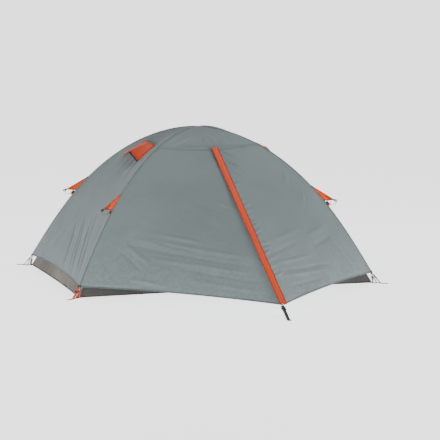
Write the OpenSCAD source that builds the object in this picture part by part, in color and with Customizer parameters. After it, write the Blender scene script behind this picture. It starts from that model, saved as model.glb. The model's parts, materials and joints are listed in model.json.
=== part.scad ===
// Two-person dome tent, pitched: two crossing hoop poles, a clipped-on inner tent with a bathtub
// floor, and a fly sheet with one vestibule, a zipped door, two propped vents and four guy points.
// +X runs along the long side, -Y is the vestibule side, and the origin is the middle of the
// floor's underside. All lengths are in millimetres.

/* [Floor] */
// Length of the floor along X
floor_l = 2235; // [2100:5:2300]
// Width of the floor along Y
floor_w = 1524; // [1450:2:1560]
// Thickness of the floor cloth as a solid
floor_t = 3; // [2:0.5:4]
// Height of the bathtub walls
bathtub_h = 130; // [110:5:150]

/* [Poles] */
// Slope of a pole where it leaves its foot, in degrees
bow_alpha = 57.2; // [56:0.1:58.4]
// Height of the pole foot above the ground
foot_z = 14; // [13:0.5:16]
// How far each pole foot stands outside the floor corner
foot_reach = 27; // [24:1:32]
// Outer diameter of the pole tubes
pole_d = 8.5; // [8:0.1:9]
// Number of tube sections in each pole
section_n = 9; // [7:2:11]

/* [Fly] */
// Distance from a pole's centre line out to the middle of the fly
fly_off = 18; // [17:0.5:22]
// Thickness of the fly as a solid
fly_t = 4; // [3:0.5:5]
// Height of the fly's hem at the four corners
hem_z = 80; // [70:2:90]
// Height of the seam between the top and the vestibule
seam_z = 1002; // [990:2:1010]

/* [Vestibule] */
// Place of the zip's foot along X
zip_x = 60; // [40:5:80]
// Distance of the vestibule's front corner from the middle of the floor
vest_y = 1872; // [1850:2:1900]
// Place of the zip's top end along X
zip_top_x = 36; // [30:2:50]
// Width of the storm flap over the zip
flap_w = 48; // [40:1:52]

/* [Vents] */
// Width of the vent hood at its open lip
hood_w = 400; // [360:10:420]
// Rise of the propped lip above the fly
hood_h = 48; // [40:2:52]

/* [Hidden] */

fly_grey = "#8a9493";
tent_orange = "#e4581f";
wall_taupe = "#6f6b64";
trim_black = "#1c1c1d";
pole_silver = "#b9bcc0";
mesh_grey = "#3c4042";

half_l = floor_l/2;
half_w = floor_w/2;
floor_half = norm([half_l, half_w]);
diagonal_angle = atan2(half_w, half_l);
pole_half = floor_half + foot_reach;
pole_r = pole_d/2;
tube_wall = 0.75;

// Floor corners: front left, front right, back right, back left
corner_fl = [-half_l, -half_w];
corner_fr = [half_l, -half_w];
corner_br = [half_l, half_w];
corner_bl = [-half_l, half_w];
corner_turns = [180 + diagonal_angle, -diagonal_angle, diagonal_angle, 180 - diagonal_angle];

// A bent pole pinned at both feet: its slope falls from the foot to the crown, a little slower
// than a cosine at first and faster near the crown.
bow_n = 36;
bow_power = 0.85;
function bow_share(a) = sign(cos(a))*pow(abs(cos(a)), bow_power);
function bow_slope(i) = bow_alpha*bow_share(90*i/bow_n);
raw_bow = [
    for (i = 0, x = 0, z = 0; i <= bow_n + 1;
        x = x + cos(bow_slope(i + 0.5)), z = z + sin(bow_slope(i + 0.5)), i = i + 1)
    [x, z]
];
bow_scale = pole_half/raw_bow[bow_n][0];

function mix(a, b, t) = a*(1 - t) + b*t;
function bow_row(f) = let(i = floor(f)) mix(raw_bow[i], raw_bow[i + 1], f - i);

// The dome's profile at step f, pushed out by off: [scale of the floor's outline, height].
// The fly, which has a positive off, is drawn in close to the pole near its foot.
fly_draw = 9;
fly_draw_n = 14;
function drawn(f, off) = off > 0 ? off - fly_draw*max(0, 1 - f/fly_draw_n) : off;
function arch(f, off) =
    let(p = bow_row(f)*bow_scale, a = bow_slope(f), o = drawn(f, off))
    [(pole_half - p[0] + o*sin(a))/floor_half, foot_z + p[1] + o*cos(a)];
function table_of(off) = [for (i = [0:bow_n]) [arch(i, off)[1], i]];
fly_table = table_of(fly_off);
inner_off = -30;
inner_table = table_of(inner_off);
function fly_step(z) = lookup(z, fly_table);
function inner_step(z) = lookup(z, inner_table);

// A point of the dome between two floor corners, u from the first to the second
function vault(ca, cb, u, f, off) =
    let(a = arch(f, off), c = mix(ca, cb, u)) [c[0]*a[0], c[1]*a[0], a[1]];

// ---- closed thin shells --------------------------------------------------------------------
// A shell is [outer rows, inner rows, hole]; hole is the block of cells left open.
no_hole = [-1, -1, -1, -1];
function in_hole(i, j, h) = i >= h[0] && i < h[1] && j >= h[2] && j < h[3];
function facing(o, n) = cross(o[1][0] - o[0][0], o[0][1] - o[0][0])*(o[0][0] - n[0][0]) > 0;
function two(a, b, c, d) = [[a, b, c], [a, c, d]];
function rim(a, b, k) = two(a, b, b + k, a + k);
function flat_list(l) = [for (a = l) for (b = a) b];
function reversed(f) = [for (i = [len(f) - 1:-1:0]) f[i]];

function shell_faces(s, at) =
    let(
        o = s[0],
        h = s[2],
        nu = len(o) - 1,
        nv = len(o[0]) - 1,
        w = nv + 1,
        k = (nu + 1)*w,
        outer = [for (i = [0:nu - 1]) for (j = [0:nv - 1]) if (!in_hole(i, j, h))
            for (f = two(i*w + j, i*w + j + 1, (i + 1)*w + j + 1, (i + 1)*w + j)) f],
        inner = [for (f = outer) [f[2] + k, f[1] + k, f[0] + k]],
        edges = [
            for (i = [0:nu - 1]) for (f = rim(i*w, (i + 1)*w, k)) f,
            for (i = [0:nu - 1]) for (f = rim((i + 1)*w + nv, i*w + nv, k)) f,
            for (j = [0:nv - 1]) for (f = rim(j + 1, j, k)) f,
            for (j = [0:nv - 1]) for (f = rim(nu*w + j, nu*w + j + 1, k)) f
        ],
        hole_edges = h[0] < 0 ? [] : [
            for (i = [h[0]:h[1] - 1]) for (f = rim((i + 1)*w + h[2], i*w + h[2], k)) f,
            for (i = [h[0]:h[1] - 1]) for (f = rim(i*w + h[3], (i + 1)*w + h[3], k)) f,
            for (j = [h[2]:h[3] - 1]) for (f = rim(h[0]*w + j, h[0]*w + j + 1, k)) f,
            for (j = [h[2]:h[3] - 1]) for (f = rim(h[1]*w + j + 1, h[1]*w + j, k)) f
        ],
        all = concat(outer, inner, edges, hole_edges),
        turned = facing(s[0], s[1]) ? all : [for (f = all) reversed(f)]
    )
    [for (f = turned) [for (p = f) p + at]];
function shell_points(s) = concat(flat_list(s[0]), flat_list(s[1]));
function sum_to(l, n) = n <= 0 ? 0 : l[n - 1] + sum_to(l, n - 1);

module shells(list) {
    sizes = [for (s = list) len(s[0])*len(s[0][0])*2];
    polyhedron(
        points = [for (s = list) for (p = shell_points(s)) p],
        faces = [for (i = [0:len(list) - 1]) for (f = shell_faces(list[i], sum_to(sizes, i))) f],
        convexity = 8);
}

// ---- round cords ----------------------------------------------------------------------------
cord_sides = 8;
function route_heading(r, i) =
    let(a = r[max(i - 1, 0)], b = r[min(i + 1, len(r) - 1)]) (b - a)/norm(b - a);
function route_ring(r, i, d, side) =
    let(
        h = route_heading(r, i),
        u = cross(h, side)/norm(cross(h, side)),
        v = cross(h, u)
    )
    [for (k = [0:cord_sides - 1])
        r[i] + (u*cos(360*k/cord_sides) + v*sin(360*k/cord_sides))*d/2];

// A round cord along a route; side is a direction that the route never runs along
module round_cord(route, d, side) {
    n = cord_sides;
    m = len(route);
    polyhedron(
        points = [for (i = [0:m - 1]) for (p = route_ring(route, i, d, side)) p],
        faces = concat(
            [[for (k = [0:n - 1]) k]],
            [for (i = [0:m - 2]) for (k = [0:n - 1])
                for (f = two(i*n + k, (i + 1)*n + k, (i + 1)*n + (k + 1)%n, i*n + (k + 1)%n)) f],
            [[for (k = [n - 1:-1:0]) (m - 1)*n + k]]));
}

// ---- fly ------------------------------------------------------------------------------------
fly_low_n = 10;
fly_high_n = 5;
fly_u_n = 12;
hem_f = fly_step(hem_z);
seam_f = fly_step(seam_z);
top_f = bow_n*0.985;
crown_g = arch(top_f, fly_off)[0];
hem_rise = fly_step(hem_z + 26) - hem_f;
fly_out = fly_off + fly_t/2;
fly_in = fly_off - fly_t/2;

// Step of a fly panel's row r at u: the hem is cut to a shallow arch between the corners
function fly_row_step(u, r, rise) =
    r <= fly_low_n
        ? mix(hem_f + rise*4*u*(1 - u), seam_f, r/fly_low_n)
        : mix(seam_f, top_f, (r - fly_low_n)/fly_high_n);

function fly_rows(ca, cb, off, rise) = [
    for (r = [0:fly_low_n + fly_high_n]) [
        for (i = [0:fly_u_n]) vault(ca, cb, i/fly_u_n, fly_row_step(i/fly_u_n, r, rise), off)]];

vent_cells = [fly_low_n - 1, fly_low_n, 4, 8];

module fly_left_end() {
    color(fly_grey)
        shells([[fly_rows(corner_bl, corner_fl, fly_out, hem_rise),
            fly_rows(corner_bl, corner_fl, fly_in, hem_rise), vent_cells]]);
}

module fly_right_end() {
    color(fly_grey)
        shells([[fly_rows(corner_fr, corner_br, fly_out, hem_rise),
            fly_rows(corner_fr, corner_br, fly_in, hem_rise), vent_cells]]);
}

// The piece that runs over the top: from the front seam, over the crown, down to the back hem
function crown_row(off) = [
    for (i = [0:fly_u_n]) [mix(-half_l, half_l, i/fly_u_n)*crown_g, 0, arch(bow_n, off)[1]]];
function top_rows(off) =
    let(
        front = fly_rows(corner_fl, corner_fr, off, 0),
        back = fly_rows(corner_bl, corner_br, off, hem_rise)
    )
    concat(
        [for (r = [fly_low_n:fly_low_n + fly_high_n]) front[r]],
        [crown_row(off)],
        [for (r = [fly_low_n + fly_high_n:-1:0]) back[r]]);

module fly_top_and_back() {
    color(fly_grey)
        shells([[top_rows(fly_out), top_rows(fly_in), no_hole]]);
}

// ---- vestibule ------------------------------------------------------------------------------
// The zip runs straight down a slanting line, from the seam to the vestibule's front corner.
zip_top = [zip_top_x, -half_w*arch(seam_f, fly_off)[0], arch(seam_f, fly_off)[1]];
zip_foot = [zip_x, -vest_y, hem_z];
zip_len = norm(zip_foot - zip_top);
zip_along = (zip_foot - zip_top)/zip_len;
zip_turn = [acos(zip_along[2]), 0, atan2(zip_along[0], -zip_along[1])];
zip_side = [cos(zip_turn[2]), sin(zip_turn[2]), 0];
zip_out = cross(zip_along, zip_side);

// A point over the zip line, t from its top to its foot
function zip_point(t, off, sideways) =
    zip_top + zip_along*zip_len*t + zip_side*sideways + zip_out*off;

edge_gap = 5;
strip_u = 0.13;
strip_gap_u = 0.004;
vest_u_n = 10;
vest_hem_rise = 0.14;

// A point of a vestibule panel: u from the pole's ridge to the zip, r counts rows from the hem
function vest_ruled(corner, side, u, r, off) =
    let(
        edge = vault(corner, corner, 0, mix(hem_f, seam_f, r/fly_low_n), off),
        zip = zip_point(1 - r/fly_low_n, off - fly_off, side*edge_gap)
    )
    mix(edge, zip, u);
function vest_point(corner, side, u, r, off) =
    r == 0
        ? mix(vest_ruled(corner, side, u, 0, off), vest_ruled(corner, side, u, 1, off),
            vest_hem_rise*4*u*(1 - u))
        : vest_ruled(corner, side, u, r, off);
function vest_rows(corner, side, u0, u1, n, top, off) = [
    for (r = [0:fly_low_n]) [
        for (i = [0:n]) vest_point(corner, side, mix(u0, u1, i/n), r*top, off)]];

// Part of a vestibule panel from u0 to u1; top is how much of its height it takes
module vest_panel(corner, side, u0, u1, n, top) {
    shells([[vest_rows(corner, side, u0, u1, n, top, fly_out),
        vest_rows(corner, side, u0, u1, n, top, fly_in), no_hole]]);
}

module vestibule_fixed_panel() {
    color(fly_grey)
        vest_panel(corner_fl, -1, 0, 1, vest_u_n, 1);
}

module door_ridge_strip() {
    color(fly_grey)
        vest_panel(corner_fr, 1, 0, strip_u, 2, 1);
}

door_top = 0.994;

module vestibule_door() {
    color(fly_grey)
        vest_panel(corner_fr, 1, strip_u + strip_gap_u, 1, vest_u_n, door_top);
}

// A part that runs along the zip line from t0 to t1; its outline is [sideways, off]
module along_zip(t0, t1) {
    translate(zip_top + zip_along*zip_len*t0)
        rotate(zip_turn)
            linear_extrude(zip_len*(t1 - t0))
                children();
}

coil_w = 3;
coil_t = 3;
coil_gap = 2.6;

module zip_fixed_half() {
    color(trim_black)
        along_zip(0.005, 1)
            translate([-coil_gap/2 - coil_w, -coil_t/2])
                square([coil_w, coil_t]);
}

module zip_door_half() {
    color(trim_black)
        along_zip(0.008, slider_t0 - 0.004)
            translate([coil_gap/2, -coil_t/2])
                square([coil_w, coil_t]);
}

slider_t0 = 0.972;
slider_t1 = 0.985;
slider_w = 9;
slider_plate = 1.6;
slider_room = 0.5;

module zip_slider() {
    plate_at = coil_t/2 + slider_room;
    color(trim_black)
        along_zip(slider_t0, slider_t1) {
            translate([-slider_w/2, plate_at])
                square([slider_w, slider_plate]);
            translate([-slider_w/2, -plate_at - slider_plate])
                square([slider_w, slider_plate]);
            translate([-0.9, -plate_at - 0.1])
                square([1.8, 2*plate_at + 0.2]);
        }
}

module zip_pull() {
    color(tent_orange)
        along_zip(slider_t0 - 0.022, slider_t0 + 0.006)
            translate([-3, coil_t/2 + slider_room + slider_plate])
                square([6, 1.2]);
}

flap_rise = 8;
flap_t = 2.4;
flap_foot = 3;
flap_free = 2 - flap_w/2;
flap_sewn = 2 + flap_w/2;
flap_bend = 10;

module storm_flap() {
    color(tent_orange)
        along_zip(0.014, 0.997)
            polygon([[flap_free, flap_rise], [flap_free, flap_rise + flap_t],
                [flap_bend, flap_rise + flap_t], [flap_sewn, flap_foot + flap_t],
                [flap_sewn, flap_foot], [flap_bend - 1, flap_rise]]);
}

// ---- inner tent -----------------------------------------------------------------------------
inner_t = 3;
wall_u_n = 8;
tub_low_f = inner_step(floor_t + 0.5);
tub_high_f = inner_step(bathtub_h);
mesh_from_z = 560;
mesh_f = inner_step(mesh_from_z);
inner_top_f = bow_n*0.975;
edge_bow = 15;

// A wall of the inner tent from step f0 to f1; bowed_in pulls the foot of the wall inwards
function inner_rows(ca, cb, f0, f1, n, off, bowed_in) = [
    for (r = [0:n]) [
        for (i = [0:wall_u_n])
            let(
                u = i/wall_u_n,
                p = vault(ca, cb, u, mix(f0, f1, r/n), off),
                pull = bowed_in*4*u*(1 - u)*(1 - 0.6*r/n),
                mid = (ca + cb)/2
            )
            p - [sign(mid[0]), sign(mid[1]), 0]*pull]];
function inner_shell(ca, cb, f0, f1, n, bowed_in) =
    [inner_rows(ca, cb, f0, f1, n, inner_off + inner_t/2, bowed_in),
        inner_rows(ca, cb, f0, f1, n, inner_off - inner_t/2, bowed_in), no_hole];
seam_room = 0.02;

module bathtub_walls() {
    f1 = tub_high_f - seam_room;
    color(wall_taupe)
        shells([
            inner_shell(corner_fl, corner_fr, tub_low_f, f1, 2, edge_bow),
            inner_shell(corner_br, corner_bl, tub_low_f, f1, 2, edge_bow),
            inner_shell(corner_fr*0.9985, corner_br*0.9985, tub_low_f, f1, 2, edge_bow),
            inner_shell(corner_bl*0.9985, corner_fl*0.9985, tub_low_f, f1, 2, edge_bow)]);
}

// The floor's outline: four shallow arcs between the corners
floor_in = 4;
function bowed_side(a, b) =
    let(d = [sign((a + b)[0]), sign((a + b)[1])])
    [for (i = [0:11]) let(u = i/12) mix(a, b, u) - d*(floor_in + edge_bow*4*u*(1 - u))];
floor_outline = concat(bowed_side(corner_fl, corner_fr), bowed_side(corner_fr, corner_br),
    bowed_side(corner_br, corner_bl), bowed_side(corner_bl, corner_fl));

module floor_sheet() {
    color(wall_taupe)
        linear_extrude(floor_t)
            polygon(floor_outline);
}

module inner_lower_panels() {
    f0 = tub_high_f + seam_room;
    f1 = mesh_f - seam_room;
    color("#a9aca8")
        shells([
            inner_shell(corner_br, corner_bl, f0, f1, 3, edge_bow*0.4),
            inner_shell(corner_fr*0.998, corner_br*0.998, f0, f1, 3, edge_bow*0.4),
            inner_shell(corner_bl*0.998, corner_fl*0.998, f0, f1, 3, edge_bow*0.4)]);
}

module inner_mesh_panels() {
    f0 = mesh_f + seam_room;
    color(mesh_grey)
        shells([
            inner_shell(corner_br, corner_bl, f0, inner_top_f, 6, 0),
            inner_shell(corner_fr*0.998, corner_br*0.998, f0, inner_top_f, 6, 0),
            inner_shell(corner_bl*0.998, corner_fl*0.998, f0, inner_top_f, 6, 0)]);
}

// The door's outline on the front wall: a round-topped arch, a from 0 at its right foot to 180
arch_half = 520;
arch_top_z = 850;
arch_foot_z = bathtub_h + 4;
arch_n = 40;
function arch_height(a) = arch_foot_z + (arch_top_z - arch_foot_z)*pow(sin(a), 0.8);
function on_front(x, z, off) =
    let(f = inner_step(z), p = arch(f, off)) [x, -half_w*p[0], p[1]];
function arch_rim(a, grow, off) =
    on_front((arch_half + grow)*cos(a), arch_height(a) + grow*sin(a), off);
function front_edge(a, off) =
    let(
        k = 1 - abs(a - 90)/90,
        p = arch(mix(inner_step(arch_foot_z), inner_top_f, pow(k, 0.8)), off)
    )
    [half_l*p[0]*sign(round(90 - a))*0.999, -half_w*p[0], p[1]];

module inner_front_wall() {
    rows = [for (k = [0:3]) k/3];
    function rows_at(off) = [
        for (k = rows) [
            for (i = [0:arch_n])
                let(a = 180*i/arch_n, n = arch_rim(a, 8, off), m = front_edge(a, off))
                on_front(mix(n[0], m[0], k), mix(n[2], m[2], k), off)]];
    color("#a9aca8")
        shells([[rows_at(inner_off + inner_t/2), rows_at(inner_off - inner_t/2), no_hole]]);
}

// The door panel: rows across the arch, from the sill up
door_angles = [0.2, 4, 10, 18, 28, 40, 52, 64, 75, 84];

module inner_door() {
    function rows_at(off) = [
        for (a = door_angles)
            [for (i = [0:6]) on_front(mix(-1, 1, i/6)*arch_half*cos(a), arch_height(a), off)]];
    color("#b3b6b2")
        shells([[rows_at(inner_off + inner_t/2), rows_at(inner_off - inner_t/2), no_hole]]);
}

module inner_door_zip() {
    function rows_at(off) = [
        for (g = [2.6, 6.2]) [for (i = [0:arch_n]) arch_rim(180*i/arch_n, g, off)]];
    color(trim_black)
        shells([[rows_at(inner_off + inner_t/2 + 1), rows_at(inner_off + inner_t/2 - 3), no_hole]]);
}

// A flat pocket hanging from its top edge just inside the right-hand wall
module mesh_pocket() {
    color(mesh_grey)
        translate([half_l*arch(inner_step(330), inner_off)[0] - 32, -150, 150])
            difference() {
                cube([20, 300, 180]);
                translate([3, 3, 3])
                    cube([14, 294, 180]);
            }
}

module lantern_loop() {
    color(trim_black)
        translate([0, 0, arch(bow_n, inner_off)[1] - 22])
            rotate([90, 0, 0])
                rotate_extrude($fn = 48)
                    translate([16, 0])
                        circle(d = 4, $fn = 24);
}

// ---- poles ----------------------------------------------------------------------------------
// Each pole is a chain of round arcs that keep the bow's slope from joint to joint. A pole is
// [its turn about Z, its slope at the foot]; pole A bends a little more and passes over pole B.
// Both are steeper than the profile at the foot, because their arcs cut its corners.
pole_a = [diagonal_angle, bow_alpha + 0.64];
pole_b = [-diagonal_angle, bow_alpha + 0.3];
tube_gap = 0.6;
ferrule_half = 32;
function slope_at(p, k) = p[1]*bow_share(180*k/section_n);
function unit_radius(p, k) = 180/PI/(slope_at(p, k) - slope_at(p, k + 1));
function unit_start(p, k) =
    k == 0
        ? [0, 0]
        : let(a = slope_at(p, k - 1), b = slope_at(p, k))
        unit_start(p, k - 1) + unit_radius(p, k - 1)*[sin(a) - sin(b), cos(b) - cos(a)];
// The arcs are drawn at the scale that brings the far end down on the other foot
function arc_len(p) = 2*pole_half/unit_start(p, section_n)[0];

module in_diagonal(turn) {
    rotate([0, 0, turn])
        rotate([90, 0, 0])
            children();
}

// An arc of pole p, from distance s0 to s1 along section k; children draw its cross-section
module pole_arc(p, k, s0, s1) {
    len = arc_len(p);
    r = unit_radius(p, k)*len;
    a = slope_at(p, k);
    centre = [-pole_half, foot_z] + unit_start(p, k)*len + r*[sin(a), -cos(a)];
    translate([centre[0], centre[1], 0])
        rotate([0, 0, 90 + a - s1/r*180/PI])
            rotate_extrude(angle = (s1 - s0)/r*180/PI, $fn = 1080)
                translate([r, 0])
                    children();
}

module ring_2d(outer, inner) {
    difference() {
        circle(r = outer, $fn = 32);
        circle(r = inner, $fn = 32);
    }
}

module pole_sections(p) {
    color(pole_silver)
        in_diagonal(p[0])
            for (k = [0:section_n - 1])
                pole_arc(p, k, tube_gap/2, arc_len(p) - tube_gap/2)
                    ring_2d(pole_r, pole_r - tube_wall);
}

// A ferrule bridges joint k: one arc with the mean of the two tubes' bends
module pole_ferrules(p) {
    len = arc_len(p);
    insert_r = pole_r - tube_wall - 0.15;
    color("#8f9296")
        in_diagonal(p[0])
            for (k = [1:section_n - 1]) {
                r = 2*len/(1/unit_radius(p, k - 1) + 1/unit_radius(p, k));
                a = slope_at(p, k);
                turn = ferrule_half/r*180/PI;
                centre = [-pole_half, foot_z] + unit_start(p, k)*len + r*[sin(a), -cos(a)];
                translate([centre[0], centre[1], 0])
                    rotate([0, 0, 90 + a - turn])
                        rotate_extrude(angle = 2*turn, $fn = 1080)
                            translate([r, 0])
                                ring_2d(insert_r, insert_r - 1);
            }
}

// The shock cord runs inside both the tubes and the ferrules, from tip to tip
cord_end = 24;
cord_d = 2.8;
cord_rings = 72;
function along_chain(p, s) =
    let(
        len = arc_len(p),
        k = min(floor(s/len), section_n - 1),
        r = unit_radius(p, k)*len,
        a = slope_at(p, k),
        b = a - (s - k*len)/r*180/PI
    )
    [-pole_half, foot_z] + unit_start(p, k)*len + r*[sin(a) - sin(b), cos(b) - cos(a)];

module pole_shock_cord(p) {
    len = arc_len(p)*section_n - 2*cord_end;
    route = [for (i = [0:cord_rings - 1])
        let(q = along_chain(p, cord_end + len*i/(cord_rings - 1))) [q[0], q[1], 0]];
    color(trim_black)
        in_diagonal(p[0])
            round_cord(route, cord_d, [0, 0, 1]);
}

module pole_a_sections() {
    pole_sections(pole_a);
}

module pole_b_sections() {
    pole_sections(pole_b);
}

module pole_a_ferrules() {
    pole_ferrules(pole_a);
}

module pole_b_ferrules() {
    pole_ferrules(pole_b);
}

module pole_a_shock_cord() {
    pole_shock_cord(pole_a);
}

module pole_b_shock_cord() {
    pole_shock_cord(pole_b);
}

plug_len = 20;
collar_len = 5;
pin_len = 8;
pin_r = 2.4;

module pole_tip(slope) {
    translate([pole_half, foot_z, 0])
        rotate([0, 0, -slope])
            rotate([0, 90, 0]) {
                translate([0, 0, -plug_len])
                    cylinder(h = plug_len + 1, r = pole_r - tube_wall - 0.1, $fn = 32);
                cylinder(h = collar_len, r = pole_r, $fn = 32);
                cylinder(h = collar_len + pin_len, r = pin_r, $fn = 32);
            }
}

module pole_tips() {
    color(trim_black)
        for (p = [pole_a, pole_b])
            for (half = [0, 180])
                in_diagonal(p[0] + half)
                    pole_tip(p[1]);
}

// The crown clip: one cradle opens upwards for pole A, the other downwards for pole B
clip_len = 34;
clip_r = 7.6;
clip_bore = pole_r + 0.25;
function crown_z(p) = foot_z + unit_start(p, (section_n - 1)/2)[1]*arc_len(p)
    + unit_radius(p, (section_n - 1)/2)*arc_len(p)*(1 - cos(slope_at(p, (section_n - 1)/2)));

module along_pole(p, len, r) {
    translate([0, 0, crown_z(p)])
        rotate([0, 0, p[0]])
            rotate([0, 90, 0])
                cylinder(h = len, r = r, center = true, $fn = 48);
}

module crossing_clip() {
    color(trim_black)
        difference() {
            union() {
                along_pole(pole_a, clip_len, clip_r);
                along_pole(pole_b, clip_len, clip_r);
            }
            along_pole(pole_a, clip_len + 2, clip_bore);
            along_pole(pole_b, clip_len + 2, clip_bore);
            translate([0, 0, crown_z(pole_a) + 5])
                rotate([0, 0, pole_a[0]])
                    cube([clip_len + 2, 7, 10], center = true);
            translate([0, 0, crown_z(pole_b) - 5])
                rotate([0, 0, pole_b[0]])
                    cube([clip_len + 2, 7, 10], center = true);
        }
}

// Hook clips that hang the inner tent under the poles
hook_len = 14;
hook_r = 5.3;
hook_reach = 27;

module hook_outline() {
    difference() {
        union() {
            circle(r = hook_r, $fn = 32);
            translate([-hook_reach, -1.25])
                square([hook_reach, 2.5]);
        }
        circle(r = clip_bore, $fn = 32);
        translate([0, -2.8])
            square([hook_r + 1, 5.6]);
    }
}

module canopy_clips() {
    color(trim_black)
        for (p = [pole_a, pole_b])
            in_diagonal(p[0])
                for (k = [0:section_n - 1])
                    if (k != (section_n - 1)/2)
                        pole_arc(p, k, arc_len(p)*0.55, arc_len(p)*0.55 + hook_len)
                            hook_outline();
}

// ---- webbing --------------------------------------------------------------------------------
// A flat strap along a route in an upright plane
function heading(a, b) = (b - a)/norm(b - a);
function across(route, i) =
    let(
        n = len(route) - 1,
        d = (i > 0 ? heading(route[i - 1], route[i]) : [0, 0])
            + (i < n ? heading(route[i], route[i + 1]) : [0, 0])
    )
    [-d[1], d[0]]/norm(d);
module strap(route, thick, width) {
    n = len(route) - 1;
    linear_extrude(width, center = true)
        polygon(concat(
            [for (i = [0:n]) route[i] + across(route, i)*thick/2],
            [for (i = [n:-1:0]) route[i] - across(route, i)*thick/2]));
}

// Places along a straight strap: d along it, n off its face
function on_strap(a, b, d, n) =
    let(h = heading(a, b)) a + h*d + [-h[1], h[0]]*n;
buckle_at = 36;
weave = [[-20, 0], [-14, 3.2], [-9, 3.2], [-3, -3.2], [3, -3.2], [9, 3.2], [14, 3.2], [20, 0]];
function woven(a, b) = [for (w = weave) on_strap(a, b, buckle_at + w[0], w[1])];

module rounded_rect(w, h, r) {
    square([w - 2*r, h], center = true);
    square([w, h - 2*r], center = true);
    for (x = [-1, 1])
        for (y = [-1, 1])
            translate([x*(w/2 - r), y*(h/2 - r)])
                circle(r = r, $fn = 24);
}

// A ladder buckle of two slots on the strap from a to b
module buckle(a, b, width) {
    at = on_strap(a, b, buckle_at, 0);
    h = heading(a, b);
    translate([at[0], at[1], 0])
        rotate([0, 0, atan2(h[1], h[0])])
            rotate([90, 0, 0])
                linear_extrude(3, center = true)
                    difference() {
                        rounded_rect(29, width + 8, 3);
                        for (x = [-6, 6])
                            translate([x, 0])
                                square([6, width + 1.5], center = true);
                    }
}

strap_t = 1.8;
strap_w = 20;
grommet_r = pole_half + (foot_z - 4)/tan(bow_alpha);
eyelet_r = 1454;
tab_route = [[floor_half - 3, 4], [grommet_r, 4], [1400, 4], [1440, 2.7], [1470, 2.7], [1474, 2.7]];
strap_from = [1349, 76];
strap_to = [1406, 12];
fly_strap_route = concat([[1344, 84], strap_from], woven(strap_from, strap_to),
    [strap_to, [1410, 6.4], [1428, 5.2]]);
ring_bore = 4.5;

module corner_tab() {
    difference() {
        rotate([90, 0, 0])
            strap(tab_route, strap_t, strap_w);
        for (r = [grommet_r, eyelet_r])
            translate([r, 0, -1])
                cylinder(h = 10, r = ring_bore + 1.1, $fn = 32);
    }
}

module eyelet() {
    rotate_extrude($fn = 48)
        polygon([[ring_bore, -2.2], [8.6, -2.2], [8.6, -1.2], [ring_bore + 1, -1.2],
            [ring_bore + 1, 1.2], [8.6, 1.2], [8.6, 2.2], [ring_bore, 2.2]]);
}

module corner_webbing_orange() {
    color(tent_orange)
        for (half = [0, 180])
            rotate([0, 0, pole_a[0] + half])
                corner_tab();
}

module corner_webbing_black() {
    color(trim_black)
        for (half = [0, 180])
            rotate([0, 0, pole_b[0] + half])
                corner_tab();
}

vest_peg = 2040;
back_peg = 930;

module corner_grommets() {
    color(pole_silver) {
        for (turn = corner_turns)
            rotate([0, 0, turn]) {
                translate([grommet_r, 0, 4])
                    eyelet();
                translate([eyelet_r, 0, 2.7])
                    eyelet();
            }
        translate([vest_strap_x, -vest_peg, 2.7])
            eyelet();
        translate([0, back_peg, 2.7])
            eyelet();
    }
}

module fly_straps_orange() {
    color(tent_orange)
        for (half = [0, 180])
            in_diagonal(pole_a[0] + half)
                strap(fly_strap_route, strap_t, strap_w);
}

module fly_straps_black() {
    color(trim_black)
        for (half = [0, 180])
            in_diagonal(pole_b[0] + half)
                strap(fly_strap_route, strap_t, strap_w);
}

module strap_buckles() {
    color(trim_black)
        for (turn = corner_turns)
            in_diagonal(turn)
                buckle(strap_from, strap_to, strap_w);
}

// Straps from the hem to a peg, in the upright plane across the tent
module across_tent(x, side) {
    translate([x, 0, 0])
        rotate([90, 0, 90*side])
            children();
}

vest_strap_w = 25;
vest_strap_x = zip_x - 9;
vest_from = [vest_y + 4, hem_z - 1];
vest_to = [vest_peg - 34, 8];
vest_strap_route = concat([vest_from], woven(vest_from, vest_to),
    [vest_to, [vest_peg - 18, 2.7], [vest_peg + 15, 2.7]]);
back_from = [half_w*0.99 + 10, 99];
back_to = [back_peg - 34, 8];
back_strap_route = [back_from, back_to, [back_peg - 18, 2.7], [back_peg + 15, 2.7]];

module vestibule_strap() {
    color(trim_black)
        difference() {
            across_tent(vest_strap_x, -1)
                strap(vest_strap_route, strap_t, vest_strap_w);
            translate([vest_strap_x, -vest_peg, -1])
                cylinder(h = 10, r = ring_bore + 1.1, $fn = 32);
        }
}

module vestibule_buckle() {
    color(trim_black)
        across_tent(vest_strap_x, -1)
            buckle(vest_from, vest_to, vest_strap_w);
}

module back_tie_out() {
    color(trim_black)
        difference() {
            across_tent(0, 1)
                strap(back_strap_route, strap_t, strap_w);
            translate([0, back_peg, -1])
                cylinder(h = 10, r = ring_bore + 1.1, $fn = 32);
        }
}

// ---- guy points -----------------------------------------------------------------------------
// Each wing is a triangle of cloth sewn along a pole ridge and pulled out sideways.
wing_top_z = 705;
wing_low_z = 602;
wing_pull = [-150, -73, -98];
wing_t = 2;
wing_gap = 0.6;
guy_sides = [[-1, -1], [1, -1], [1, 1], [-1, 1]];

// A point on the fly's ridge of the corner at [-1, -1]
function ridge_at(z, off) =
    let(p = arch(fly_step(z), off)) [-half_l*p[0], -half_w*p[0], p[1]];
wing_a = ridge_at(wing_top_z, fly_out + wing_gap);
wing_b = ridge_at(wing_low_z, fly_out + wing_gap);
wing_tip = wing_a + wing_pull;
wing_cross = cross(wing_b - wing_a, wing_tip - wing_a);
wing_normal = wing_cross/norm(wing_cross);

module at_guys() {
    for (s = guy_sides)
        mirror([s[0] > 0 ? 1 : 0, 0, 0])
            mirror([0, s[1] > 0 ? 1 : 0, 0])
                children();
}

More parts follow.
